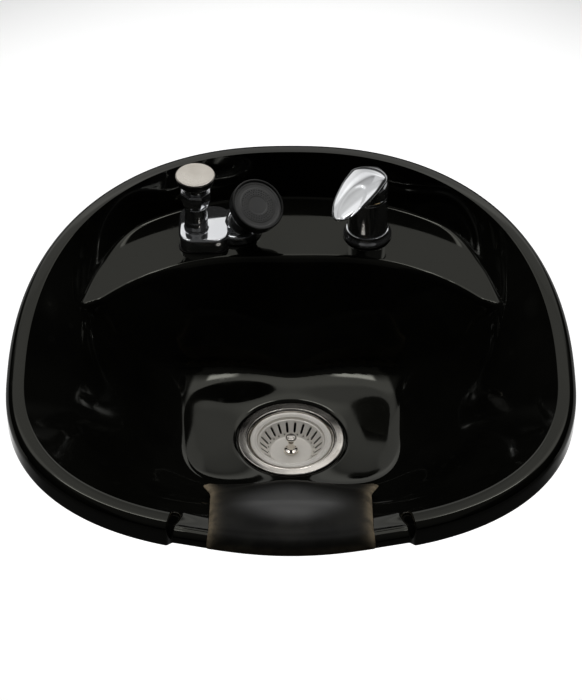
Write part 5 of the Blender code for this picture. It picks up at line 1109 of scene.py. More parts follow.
    def stations(self, angles: ndarray) -> tuple[ndarray, ...]:
        """Where foot, deck edge and shoulder stand along each meridian.

        Args:
            angles: Plan angles of the meridians.

        Returns:
            Length of each meridian, three shares of it, and its angle from the back in degrees.
        """
        rim_x, rim_y = self.rim_outline(angles)
        span = np.hypot(rim_x - self.recess * np.cos(angles), rim_y - self.recess * np.sin(angles))
        floor = self.outline_radius(angles, self.floor_half_width, self.floor_back,
                                    self.floor_front, self.floor_power, self.floor_power)
        from_back = np.degrees(np.abs(np.angle(np.exp(1j * (angles - math.pi / 2)))))
        past_tip = np.clip((from_back - self.deck_close_angle) / self.deck_close_turn, 0.0, None)
        edge = self.deck_edge_share + ((self.deck_tip_share - self.deck_edge_share)
                                       * self.edge_bend(from_back))
        edge = edge + self.deck_close_share * past_tip ** 2
        shoulder = smooth_table(from_back, self.station_angles, self.shoulder_shares)
        return span, (floor - self.recess) / span, edge, shoulder, from_back

    def height(self, angles: ndarray, shares: ndarray) -> ndarray:
        """Height of the glazed inside over the drain.

        Along each meridian the basin is a smooth curve through floor, foot, middle, shoulder and
        rim. It is filleted with the deck block, whose front wall leans back.

        Args:
            angles: Plan angle of each meridian.
            shares: Share of the way out, one row per meridian.

        Returns:
            The heights, in the shape of shares.
        """
        span, foot, edge, shoulder, from_back = self.stations(angles)
        rise = self.wall_rise(angles)
        shoulder_rise = smooth_table(from_back, self.station_angles, self.shoulder_rises)
        middle_rise = shoulder_rise * smooth_table(from_back, self.station_angles,
                                                   self.middle_rises)
        middle = foot + (shoulder - foot) * self.middle_share
        knots = np.stack([0 * foot, foot, middle, shoulder, 1 + 0 * foot], axis=-1)
        heights = np.stack([0 * rise, self.floor_fall + 0 * rise, middle_rise, shoulder_rise, rise],
                           axis=-1)
        widths = np.diff(knots, axis=-1)
        slopes = hermite_slopes(np.diff(heights, axis=-1) / widths)
        basin = np.zeros_like(shares)
        for step in range(knots.shape[-1] - 1):
            inside = (shares >= knots[:, step, None]) & (shares <= knots[:, step + 1, None])
            t = (shares - knots[:, step, None]) / widths[:, step, None]
            stretch = hermite_blend(t, widths[:, step, None], heights[:, step, None],
                                    heights[:, step + 1, None], slopes[:, step, None],
                                    slopes[:, step + 1, None])
            basin = np.where(inside, stretch, basin)
        near_rim = smoothstep(1.0 - (1.0 - shares) * span[:, None] / self.notch_depth)
        basin = basin + (self.rim_rise(angles) - rise)[:, None] * near_rim
        front_wall = DECK_RISE + (shares - edge[:, None]) * span[:, None] * self.deck_slope
        block = soft_min(front_wall, DECK_RISE + 0 * shares, self.deck_edge_round)
        return soft_max(basin, block, self.deck_back_round)

    def row_shares(self, angles: ndarray, rows: ndarray) -> ndarray:
        """Shares along each meridian for rows spread evenly between its stations.

        The deck edge's station is held clear of the shoulder's.

        Args:
            angles: Plan angles of the meridians.
            rows: Rows from 0 to 1.

        Returns:
            The shares, one row per meridian.
        """
        _, foot, edge, shoulder, _ = self.stations(angles)
        edge = np.minimum(edge, 0.5 * (foot + shoulder) + self.edge_clear * (shoulder - foot))
        knots = np.stack([0 * foot, foot, edge, shoulder, 1 + 0 * foot], axis=-1)
        result = np.zeros((len(angles), len(rows)))
        for step in range(len(self.row_stations) - 1):
            low, high = self.row_stations[step], self.row_stations[step + 1]
            t = (rows - low) / (high - low)
            line = knots[:, step, None] + (knots[:, step + 1, None] - knots[:, step, None]) * t
            result = np.where(((rows >= low) & (rows <= high))[None, :], line, result)
        return result

    def at_shares(self, angles: ndarray, shares: ndarray) -> ndarray:
        """Points of the inside at given shares of straight plan lines from recess to rim.

        Args:
            angles: Plan angles of the lines.
            shares: Shares of them, one row per line.

        Returns:
            The points, from the drain.
        """
        rim_x, rim_y = self.rim_outline(angles)
        start_x, start_y = self.recess * np.cos(angles), self.recess * np.sin(angles)
        x = start_x[:, None] + (rim_x - start_x)[:, None] * shares
        y = start_y[:, None] + (rim_y - start_y)[:, None] * shares
        return np.stack([x, y, self.height(angles, shares)], axis=-1)

    def offset(self, points: ndarray, angles: ndarray, outward: ndarray, drop: ndarray) -> ndarray:
        """Points moved outward square to the rim in plan, and down.

        Args:
            points: Points, one row per angle.
            angles: Plan angles.
            outward: How far out.
            drop: How far down.

        Returns:
            The moved points.
        """
        normal_x, normal_y = self.rim_normal(angles)
        moved = points.copy()
        moved[..., 0] += normal_x[:, None] * outward
        moved[..., 1] += normal_y[:, None] * outward
        moved[..., 2] -= drop
        return moved

    def rim_section(self, angles: ndarray, turns: ndarray) -> tuple[ndarray, ndarray]:
        """Steps over the rim: a near-flat band, a quarter circle and a short rounded skirt.

        Args:
            angles: Plan angles.
            turns: Angles along the quarter circle.

        Returns:
            Distance outward and drop of each step, one row per angle.
        """
        notch = self.notch_amount(angles)[:, None]
        flat = self.rim_flat + (self.lip_flat - self.rim_flat) * notch
        roll = self.rim_roll + (self.lip_roll - self.rim_roll) * notch
        skirt = self.rim_skirt + (self.lip_skirt - self.rim_skirt) * notch
        band = np.linspace(0.0, 1.0, self.band_steps)[None, :]
        roll_out = flat + roll * np.sin(turns)[None, :]
        roll_drop = self.rim_flat_drop + roll * (1 - np.cos(turns))[None, :]
        low = skirt - self.skirt_round
        down = roll_drop[:, -1:] + (low - roll_drop[:, -1:]) * np.linspace(0.25, 1.0, 4)[None, :]
        hem = np.radians(np.linspace(15.0, 90.0, 6))[None, :]
        outward = np.concatenate([flat * band, roll_out, flat + roll + 0 * down,
                                  flat + roll - self.skirt_round * (1 - np.cos(hem))], axis=1)
        drop = np.concatenate([self.rim_flat_drop * band ** 2 + 0 * flat, roll_drop, down,
                               low + self.skirt_round * np.sin(hem)], axis=1)
        return outward, drop

    def underside(self, angles: ndarray, rows: ndarray) -> ndarray:
        """Points of the underside: the inside moved outward and down by the wall.

        Args:
            angles: Plan angles of the meridians.
            rows: Rows from 0 to 1.

        Returns:
            The points, from the drain.
        """
        inside = self.at_shares(angles, self.row_shares(angles, rows))
        notch = self.notch_amount(angles)[:, None]
        skirt = self.rim_skirt + (self.lip_skirt - self.rim_skirt) * notch
        outward = np.interp(rows, self.row_stations, self.out_shares) * self.wall
        drop = np.interp(rows, self.row_stations, self.down_shares) * self.wall
        last = self.row_stations[-2]
        top = np.clip((rows - last) / (1.0 - last), 0.0, 1.0)
        lip = top[None, :] * notch
        outward = (outward[None, :] * (1 - lip)
                   + (self.lip_flat + self.lip_roll - self.skirt_round - GAP) * lip)
        drop = drop[None, :] * (1 - top[None, :]) + skirt * top[None, :]
        return self.offset(inside, angles, outward, drop)

    def deck_share(self, inside: ndarray) -> ndarray:
        """1 on the deck's flat, a share of it on the floor and 0 elsewhere, eased.

        Args:
            inside: Points of the glazed inside.

        Returns:
            The mask at each point.
        """
        run = np.hypot(np.gradient(inside[..., 0], axis=1), np.gradient(inside[..., 1], axis=1))
        slope = np.gradient(inside[..., 2], axis=1) / np.maximum(run, WELD)
        level = smoothstep(1.5 - np.abs(slope) / self.level_slope)
        deck = smoothstep(1.5 - np.abs(inside[..., 2] - DECK_RISE) / self.level_band)
        floor = smoothstep(1.5 - inside[..., 2] / self.floor_band)
        before_wall = smoothstep((self.lean_end - inside[..., 1]) / self.lean_fade)
        return level * deck + self.floor_lean_share * floor * before_wall

    def meridian_angles(self) -> ndarray:
        """Plan angles of the meridians, crowded at the notch's ends and the deck's tips."""
        fine = FRONT + np.linspace(0.1, 1.0, 4000)
        x, _ = self.rim_outline(fine)
        end = float(fine[np.argmin(np.abs(x - self.notch_half_width - self.notch_blend / 2))])
        peaks = [(FRONT + side * (end - FRONT), *self.notch_crowding) for side in (-1, 1)]
        peaks += [(math.pi / 2 + side * self.deck_tip_turn, *self.deck_tip_crowding)
                  for side in (-1, 1)]
        return spread(-math.pi / 4, TAU - math.pi / 4, self.meridians + 1, peaks)[:-1]

    def seat(self, angles: ndarray) -> ndarray:
        """Points of the hole's wall and of the recess that the strainer's flange sits in.

        Args:
            angles: Plan angles of the meridians.

        Returns:
            The points, one row per meridian.
        """
        path = rounded_path([(self.hole_radius, -self.seat_depth - self.wall),
                             (self.hole_radius, -self.seat_depth, 1.0 * MM),
                             (self.seat_radius, -self.seat_depth),
                             (self.seat_radius, -self.seat_corner)])
        circle = np.stack([np.cos(angles), np.sin(angles)], axis=-1)
        ring = circle[:, None, :] * path[None, :, :1]
        heights = np.broadcast_to(path[None, :, 1:2], ring.shape[:2] + (1,))
        return np.concatenate([ring, heights], axis=-1)

    def drill(self, bowl: Object) -> None:
        """Add the four bosses under the deck, then cut their holes and the deck's own.

        Args:
            bowl: The casting without them.
        """
        top, overrun, sides = DECK_RISE - self.wall, 3 * MM, 48
        for x, y in self.boss_places:
            path = rounded_path([(0, -self.boss_height),
                                 (self.boss_radius, -self.boss_height, self.boss_round),
                                 (self.boss_radius, overrun), (0, overrun)])
            boss = turned("boss", path, over_drain(x, y, top), sides)
            join(bowl, boss, Join.UNION, self.crease)
        cuts = [(x, y, self.boss_hole, -self.boss_height - overrun, -overrun / 3)
                for x, y in self.boss_places]
        cuts += [(x, y, radius, -overrun, self.wall + overrun) for x, y, radius in self.deck_holes]
        for x, y, radius, low, high in cuts:
            cut = rod(radius, low, high, over_drain(x, y, top), sides)
            join(bowl, cut, Join.DIFFERENCE, self.crease)

    def build(self) -> Object:
        """The whole casting: seat, inside, rim, skirt and underside as one closed wall."""
        angles = self.meridian_angles()
        rows = spread(0.0, 1.0, self.inside_rows, self.row_crowding)
        inside = self.at_shares(angles, self.row_shares(angles, rows))
        outward, drop = self.rim_section(angles, np.radians(np.linspace(10.0, 90.0, 9)))
        rim = self.offset(np.repeat(inside[:, -1:], outward.shape[1], axis=1), angles, outward,
                          drop)
        under = self.underside(angles, np.linspace(0.0, 1.0, self.outside_rows))[:, ::-1]
        seat = self.seat(angles)
        section = np.concatenate([seat, inside, rim[:, 1:], under], axis=1) + DRAIN
        quads = grid_quads(section.shape[0], section.shape[1], True, True)
        mask = np.zeros(section.shape[:2])
        mask[:, seat.shape[1]:seat.shape[1] + inside.shape[1]] = self.deck_share(inside)
        bowl = mesh_piece("glazed_bowl", section.reshape(-1, 3), quads, self.crease, mask)
        self.drill(bowl)
        return bowl

    def make(self) -> None:
        """Build and dress the casting."""
        self.dress(self.build(), Body.BOWL, Slot.GLAZE, "bowl_shell")


@dataclass
class NeckRest(Assembly):
    """The rubber saddle: the bowl's own surface at the notch, raised, with a flared inner edge."""

    bowl: Bowl
    half_width: float = 80 * MM
    wing_width: float = 10 * MM
    wing_share: float = 0.35
    bulge: float = 14 * MM
    bulge_stations: Row = (0.0, 0.35, 0.70, 1.0)
    bulge_shares: Row = (0.70, 0.95, 0.90, 0.0)
    middle_share: float = 0.32
    corner_share: float = 0.50
    corner_lift: float = 9 * MM
    clearance: float = 1.2 * MM
    thickness: float = 6.4 * MM
    edge_thickness: float = 3.2 * MM
    edge_share: float = 0.10
    side_roll: float = 1.4 * MM
    dust_and_glow_width: float = 0.05
    dust_and_glow_middle: float = 0.55
    columns: int = 97
    inside_rows: int = 60
    roll_rows: int = 12
    evenings: int = 12

    def rounded_edge(self, places: ndarray) -> ndarray:
        """1 in the middle, falling as a quarter circle to 0 at -1 and 1."""
        inset = np.clip((1.0 - np.abs(places)) / self.edge_share, 0.0, 1.0)
        return np.sqrt(1.0 - (1.0 - inset) ** 2)

    def angles_at(self, wanted: ndarray, shares: ndarray) -> ndarray:
        """Plan angles at which the bowl's inside has the wanted x, by repeated substitution.

        Args:
            wanted: The x wanted at each point.
            shares: Share of the way out at each point.

        Returns:
            The angles, in the shape of shares.
        """
        angles = np.full(shares.shape, FRONT)
        for _ in range(10):
            reach = self.bowl.recess + (self.bowl.rim_radius(angles) - self.bowl.recess) * shares
            angles = FRONT + np.arcsin(np.clip(wanted / reach, -1.0, 1.0))
        return angles

    def seat(self, across: ndarray) -> ndarray:
        """The bowl's own surface under the saddle, from its inner edge out over the lip.

        Args:
            across: Places across the saddle, from -1 to 1.

        Returns:
            Points set out from the drain, one row per place.
        """
        inner = self.middle_share + (self.corner_share - self.middle_share) * np.abs(across) ** 3
        steps = np.linspace(0.0, 1.0, self.inside_rows)
        shares = inner[:, None] + (1.0 - inner[:, None]) * steps[None, :]
        wing = np.clip(1.0 - steps / self.wing_share, 0.0, 1.0) ** 2
        wanted = across[:, None] * (self.half_width + self.wing_width * wing)[None, :]
        plan = self.angles_at(wanted, shares)
        wall = self.bowl.at_shares(plan.ravel(), shares.reshape(-1, 1)).reshape(*shares.shape, 3)
        outward, drop = self.bowl.rim_section(
            plan[:, -1], np.radians(np.linspace(8.0, 90.0, self.roll_rows)))
        keep = self.bowl.band_steps + self.roll_rows
        lip = self.bowl.offset(np.repeat(wall[:, -1:], keep, axis=1), plan[:, -1],
                               outward[:, :keep], drop[:, :keep])
        return np.concatenate([wall[:, :-1], lip], axis=1)

    def outward(self, surface: ndarray) -> ndarray:
        """Directions square to a surface and away from the bowl, evened out along its rows.

        The evening is a repeated mean of each direction with its neighbours, 1 : 2 : 1.

        Args:
            surface: Points of the surface, one row per place across.

        Returns:
            Unit directions, one per point.
        """
        normal = np.cross(np.gradient(surface, axis=1), np.gradient(surface, axis=0))
        normal /= np.linalg.norm(normal, axis=-1, keepdims=True)
        normal *= np.sign(normal[..., 2:3] + 1e-9)
        for _ in range(self.evenings):
            normal[:, 1:-1] = normal[:, :-2] + 2 * normal[:, 1:-1] + normal[:, 2:]
            normal /= np.linalg.norm(normal, axis=-1, keepdims=True)
        return normal

    def dust_and_glow(self, across: ndarray, along: ndarray) -> ndarray:
        """Where dust and painted glow lie: 1 at the corners, falling off steeply from all four
        edges.

        Args:
            across: Places across the saddle, one column.
            along: Places along it, one row per place across.

        Returns:
            The mask, in the shape of along.
        """
        near = np.maximum(across ** 20, np.clip(1 - along / self.dust_and_glow_width, 0, 1) ** 2)
        near = np.maximum(near, np.clip((along - 1) / self.dust_and_glow_width + 1, 0, 1) ** 2)
        return near * (self.dust_and_glow_middle + (1 - self.dust_and_glow_middle) * across ** 2)

    def build(self) -> Object:
        """The saddle, closed round its four edges."""
        even = np.linspace(-1.0, 1.0, self.columns)
        across = (0.5 * np.sin(even * math.pi / 2) + 0.5 * even)[:, None]
        surface = self.seat(across[:, 0])
        normal = self.outward(surface)
        length = np.linalg.norm(np.diff(surface, axis=1), axis=-1)
        along = np.concatenate([0 * across, np.cumsum(length, axis=1)], axis=1)
        along /= along[:, -1:]
        inward = np.clip(1.0 - along / along[:, self.inside_rows - 1:self.inside_rows], 0.0, 1.0)
        lift = self.corner_lift * across ** 4 * inward ** 1.5 + self.clearance
        edge = np.minimum(self.rounded_edge(across), self.rounded_edge(2 * along - 1))
        bulge = self.bulge * smooth_table(1.0 - inward, self.bulge_stations, self.bulge_shares)
        full = self.thickness + bulge * (1.0 - across ** 2)
        thick = self.edge_thickness + (full - self.edge_thickness) * edge
        lower = surface + normal * lift[..., None]
        upper = surface + normal * (lift + thick)[..., None]
        side = 0.5 * (lower + upper)
        side[..., 0] += np.sign(across) * self.side_roll
        first = np.concatenate([side[:1], side[:1, ::-1]], axis=1)
        last = np.concatenate([side[-1:], side[-1:, ::-1]], axis=1)
        both = np.concatenate([lower, upper[:, ::-1]], axis=1)
        points = np.concatenate([first, both, last], axis=0) + DRAIN
        # The mask marks the edges for the rubber's brown: dust, together with a painted glow of
        # light through the thin rubber.
        near = self.dust_and_glow(across, along)
        mask = np.ones(points.shape[:2])
        mask[1:-1] = np.concatenate([near, near[:, ::-1]], axis=1)
        quads = grid_quads(points.shape[0], points.shape[1], False, True)
        return mesh_piece("neck_saddle", points.reshape(-1, 3), quads, 70.0, mask)

    def make(self) -> None:
        """Build and dress the saddle."""
        piece = self.dress(self.build(), Body.NECK_REST, Slot.NECK_RUBBER, "neck_rest")


@dataclass
class Drain(Assembly):
    """The strainer's body in the bowl, the lift-out basket and its knob."""

    flange_radius: float = 56.5 * MM
    flange_thickness: float = 2.2 * MM
    step_radius: float = 47.5 * MM
    seat_radius: float = 43.6 * MM
    seat_depth: float = 4.2 * MM
    cup_radius: float = 42 * MM
    cup_depth: float = 44 * MM
    outlet_radius: float = 20 * MM
    outlet_depth: float = 66 * MM
    lock_radius: float = 24 * MM
    under_radius: float = 44.3 * MM
    under_depth: float = 47 * MM
    slots: int = 22
    slot_half_width: float = 1.3 * MM
    slot_inner: float = 25 * MM
    slot_outer: float = 33.2 * MM
    hole_radius: float = 0.85 * MM
    hole_ring: float = 24.2 * MM
    stem_radius: float = 3.5 * MM
    floor: float = -18.2 * MM
    sheet: float = 1.2 * MM
    basket_rim: Corners = (
        (33.9, -5.2, 1.5), (35.2, -4.9, 0.6), (36.0, -1.9, 0.8), (37.6, -1.8, 0.7),
        (38.6, -2.6, 0.7), (41.2, -2.3, 0.8), (42.5, -1.8, 0.6), (43.0, -2.4, 0.5),
        (43.0, -3.6, 0.4), (41.5, -3.9, 0.3), (37.0, -3.9, 0.8), (36.2, -6.0, 0.8),
        (34.3, -6.6, 0.8))
    knob_section: Corners = (
        (0, 2.0), (5.0, 1.9, 1.2), (6.1, 0.6, 1.0), (5.2, -1.6, 2.0), (3.1, -5.2, 2.0),
        (2.9, -9.0, 2.0), (3.3, -14.2, 1.2), (7.4, -15.7, 0.8), (7.9, -17.9), (3.2, -17.9),
        (3.2, -27.8), (0, -27.8))
    dent_section: Corners = ((0, -1.6), (0.9, -1.0, 0.4), (1.1, 2), (0, 2))
    dent_ring: float = 3.2 * MM
    dent_rise: float = 2.0 * MM
    dent_angles: Triple = (90.0, 210.0, 330.0)

    def body_path(self) -> ndarray:
        """Section of the strainer's body, from the flange's edge in and down, and back outside."""
        flange = in_metres(((0, -0.9, 0.4), (-1.0, 0.1, 0.6)))
        step = in_metres(((0.6, -0.5, 0.5), (-0.4, -0.1, 0.6), (-1.8, -0.9, 0.6)))
        return rounded_path([
            (self.under_radius, -self.flange_thickness),
            (self.flange_radius, -self.flange_thickness),
            *((self.flange_radius + across, rise, edge) for across, rise, edge in flange),
            *((self.step_radius + across, rise, edge) for across, rise, edge in step),
            (self.seat_radius, -self.seat_depth, 0.5 * MM),
            (self.cup_radius, -self.seat_depth, 0.5 * MM),
            (self.cup_radius, -self.cup_depth, 3 * MM),
            (self.outlet_radius, -self.cup_depth, 2 * MM),
            (self.outlet_radius, -self.outlet_depth),
            (self.lock_radius, -self.outlet_depth), (self.lock_radius, -self.under_depth),
            (self.under_radius, -self.under_depth)], closed=True)

    def basket_path(self) -> ndarray:
        """Section of the basket: flat floor, cone with the slots, and rolled rim."""
        under = self.floor - self.sheet
        return rounded_path([
            (self.stem_radius, self.floor), (22 * MM, self.floor, 1.2 * MM),
            *in_metres(self.basket_rim), (22.8 * MM, under, 1.2 * MM),
            (self.stem_radius, under)], closed=True)

    def slot_cutters(self) -> Object:
        """All the round-ended slots and the small holes between them, as one mesh of prisms."""
        turn, circle = np.radians(np.linspace(-90.0, 90.0, 7)), np.linspace(0, TAU, 14, False)
        half = self.slot_half_width
        ends = np.concatenate([
            np.stack([self.slot_outer - half + half * np.cos(turn), half * np.sin(turn)], axis=-1),
            np.stack([self.slot_inner + half - half * np.cos(turn), -half * np.sin(turn)],
                     axis=-1)])
        round_hole = np.stack([self.hole_ring + self.hole_radius * np.cos(circle),
                               self.hole_radius * np.sin(circle)], axis=-1)
        pitch, points, faces = TAU / self.slots, [], []
        for number in range(2 * self.slots):
            outline = round_hole if number % 2 else ends
            angle = number / 2 * pitch
            spin = np.array([[math.cos(angle), -math.sin(angle)],
                             [math.sin(angle), math.cos(angle)]])
            plan = outline @ spin.T
            start, count = sum(len(block) for block in points), len(plan)
            for height in (self.floor - 4 * MM, 4 * MM):
                points.append(np.column_stack([plan, np.full(count, height)]))
            ring = np.arange(count)
            after = (ring + 1) % count
            sides = np.stack([ring, after, after + count, ring + count], axis=-1) + start
            faces += sides.tolist() + [(ring + start).tolist(), (ring + start + count).tolist()]
        cloud = placed(np.concatenate(points), over_drain(0, 0, 0))
        return mesh_piece("slot_cutters", cloud, faces)

    def knob(self) -> Object:
        """The knob: a foot, a slim neck and a head that flares to three lobes."""
        path = rounded_path(in_metres(self.knob_section), steps=8)
        knob = turned("strainer_handle", path, over_drain(0, 0, 0), 72)
        for angle in np.radians(self.dent_angles):
            place = over_drain(self.dent_ring * math.cos(angle), self.dent_ring * math.sin(angle),
                               self.dent_rise)
            dent = turned("dent", rounded_path(in_metres(self.dent_section)), place, 20)
            join(knob, dent, Join.DIFFERENCE)
        return knob

    def make(self) -> None:
        """Build and dress the three pieces."""
        place = over_drain(0, 0, 0)
        flange = turned("strainer_body", self.body_path(), place, 144, closed=True)
        # Below the flange the cup is painted near black: painted shade that shows through the
        # basket's slots.
        finish = replace(FINISHES[Slot.POLISHED_STEEL], name="strainer steel",
                         rough=(0.10, 0.18), painted_shade_below=DRAIN[2] - 5 * MM)
        self.dress(flange, Body.BOWL, Slot.POLISHED_STEEL, "drain_flange", finish=finish)
        basket = turned("strainer_cup", self.basket_path(), place, self.slots * 8, closed=True)
        join(basket, self.slot_cutters(), Join.DIFFERENCE, 35.0)
        self.dress(basket, Body.STRAINER, Slot.BRUSHED_STEEL, "strainer_basket")
        self.dress(self.knob(), Body.STRAINER, Slot.POLISHED_STEEL, "strainer_knob")


@dataclass
class Mixer(Assembly):
    """The single-lever mixer over the deck: base ring, body and the lever handle."""

    base_section: Corners = ((16.9, 1.8), (26, 1.8, 0.3), (26, 4.6, 1.4), (23.2, 7.6, 1.6),
                             (23.0, 12.0, 0.5), (16.9, 12.0))
    body_section: Corners = (
        (0, 26), (17.8, 26), (17.8, 56), (20.5, 56, 0.4), (20.8, 54.2, 0.6), (20.3, 53.4, 0.3),
        (20.8, 52.6, 0.3), (21.3, 15.5, 4), (21.8, 12.3, 0.4), (16.6, 12.3), (16.6, -45, 0.6),
        (13, -45), (13, 16), (0, 16))
    handle_radius: float = 21.5 * MM
    handle_wall: float = 2.2 * MM
    skirt_low: float = 57.5 * MM
    dome_height: float = 27 * MM
    dome_power: float = 0.8
    cavity: float = 66.5 * MM
    reach: float = 74 * MM
    tip_drop: float = 11 * MM
    rear: float = -0.28
    rear_drop: float = 7 * MM
    leaf_stations: Row = (-0.28, -0.20, -0.10, 0.0, 0.20, 0.40, 0.58, 0.74, 0.86, 0.94, 1.0)
    leaf_widths: Row = (0.30, 0.62, 0.86, 0.96, 0.96, 0.90, 0.80, 0.66, 0.49, 0.32, 0.0)
    leaf_tip: float = 0.90
    thickness_stations: Row = (-0.28, 0.5, 0.85, 1.0)
    thicknesses: Row = (8.5 * MM, 7.5 * MM, 5.5 * MM, 2.5 * MM)
    edge_power: float = 0.55
    crown: float = 2.4 * MM
    facet_middle: Pair = (0.62, 4 * MM)
    facet_size: Pair = (0.36, 10.5 * MM)
    facet_softness: float = 0.16
    facet_depth: float = 0.4 * MM
    facet_tilt: float = 0.05
    facet_side: float = 6.5 * MM
    turned_by: float = 28.0
    lift: float = 18.0
    relief_start: float = -1.1 * MM
    crease: float = 45.0

    def place(self) -> Matrix:
        """Upright place on the deck at the mixer's axis."""
        return over_drain(*MIXER_SPOT, DECK_RISE)

    def lever_place(self) -> Matrix:
        """Place with X along the lever."""
        return self.place() @ Matrix.Rotation(math.radians(-90.0 - self.turned_by), 4, "Z")

    def base(self) -> Object:
        """The stepped ring that the body stands on."""
        path = rounded_path(in_metres(self.base_section), closed=True)
        return turned("mixer_foot", path, self.place(), 128, closed=True)

    def body(self) -> Object:
        """The body over the deck with its shank below, and the bead under the handle."""
        path = rounded_path(in_metres(self.body_section))
        return turned("mixer_barrel", path, self.place(), 128)

    def leaf_half_width(self, along: ndarray) -> ndarray:
        """Half width along the leaf: a smooth table, closed by a round tip.

        Args:
            along: Shares of the reach.

        Returns:
            The half widths.
        """
        width = smooth_table(along, self.leaf_stations, self.leaf_widths)
        tip = np.sqrt(np.clip((1.0 - along) / (1.0 - self.leaf_tip), 0.0, 1.0))
        full = np.interp(self.leaf_tip, self.leaf_stations, self.leaf_widths)
        return np.where(along > self.leaf_tip, full * tip, width) * self.handle_radius

    def blade(self) -> Object:
        """The lever's leaf: crowned sections along the lever, with a shallow oval facet on top.

        A section is a squared oval. Its top falls with the power 1.5 of the way to the tip, and
        the facet is a soft-edged step down inside an ellipse on the upper side.
        """
        along = spread(self.rear, 1.0, 96, ((1.0, 0.05, 3.0), (self.rear, 0.03, 3.0)))[:, None]
        x, half_width = along * self.reach, self.leaf_half_width(along)
        top = self.skirt_low + self.dome_height - self.tip_drop * np.clip(along, 0, None) ** 1.5
        top = top - self.rear_drop * np.clip(along / self.rear, 0, 1) ** 2
        thick = np.interp(along, self.thickness_stations, self.thicknesses)
        turn = np.linspace(0, TAU, 72, endpoint=False)[None, :]
        lobe = np.sign(np.sin(turn)) * np.abs(np.sin(turn)) ** self.edge_power
        y = half_width * np.cos(turn)
        z = top - thick / 2 + lobe * thick / 2
        z = z - self.crown * np.cos(turn) ** 2 * np.clip(half_width / self.handle_radius, 0, 1)
        from_middle = np.hypot((x / self.reach - self.facet_middle[0]) / self.facet_size[0],
                               (y - self.facet_middle[1]) / self.facet_size[1])
        facet = smoothstep((1.0 - from_middle) / self.facet_softness) * (np.sin(turn) > 0)
        z = z - facet * (self.facet_depth + self.facet_tilt * (y + self.facet_side))
        points = np.stack([np.broadcast_to(x, y.shape), y, z], axis=-1)
        rows, columns = y.shape
        quads = grid_quads(rows, columns, False, True).tolist()
        quads.append(list(range(columns))[::-1])
        quads.append([(rows - 1) * columns + step for step in range(columns)])
        return mesh_piece("leaf", placed(points, self.lever_place()).reshape(-1, 3), quads, 50.0)

    def relief(self) -> Object:
        """The wedge cut from the skirt's rear, so that the handle can tip by its lift."""
        slope = math.tan(math.radians(self.lift))
        far, start, low = self.handle_radius + 2 * MM, self.relief_start, self.skirt_low
        outline = [(start + 2 * MM / slope, low - 2 * MM), (-far, low - 2 * MM),
                   (-far, low + (far + start) * slope)]
        corners = np.array([(x, side * far, z) for side in (-1, 1) for x, z in outline])
        faces = [[0, 1, 2], [5, 4, 3], [0, 3, 4, 1], [1, 4, 5, 2], [2, 5, 3, 0]]
        return mesh_piece("wedge", placed(corners, self.lever_place()), faces)

    def handle(self) -> Object:
        """Dome and leaf as one casting, hollow below and relieved at the rear."""
        radius, low, cavity = self.handle_radius, self.skirt_low, self.cavity
        arc = np.radians(np.linspace(0.0, 90.0, 16))
        rise = low + self.dome_height - 1.0 * MM - cavity
        dome = np.stack([radius * np.cos(arc) ** self.dome_power, cavity + rise * np.sin(arc)],
                        axis=-1)
        skirt = rounded_path([(0, low), (radius - 0.2 * MM, low, 0.4 * MM), (radius, cavity)])
        handle = turned("lever_handle", np.concatenate([skirt, dome]), self.lever_place(), 128)
        join(handle, self.blade(), Join.UNION, self.crease)
        hollow = rod(radius - self.handle_wall, low - 3 * MM, cavity, self.lever_place(), 64)
        join(handle, hollow, Join.DIFFERENCE, self.crease)
        join(handle, self.relief(), Join.DIFFERENCE, self.crease)
        return handle

    def make(self) -> None:
        """Build and dress the three pieces."""
        self.dress(self.base(), Body.BOWL, Slot.CHROME, "mixer_base_ring")
        self.dress(self.body(), Body.BOWL, Slot.CHROME, "mixer_body")
        self.dress(self.handle(), Body.HANDLE, Slot.CHROME, "mixer_handle")


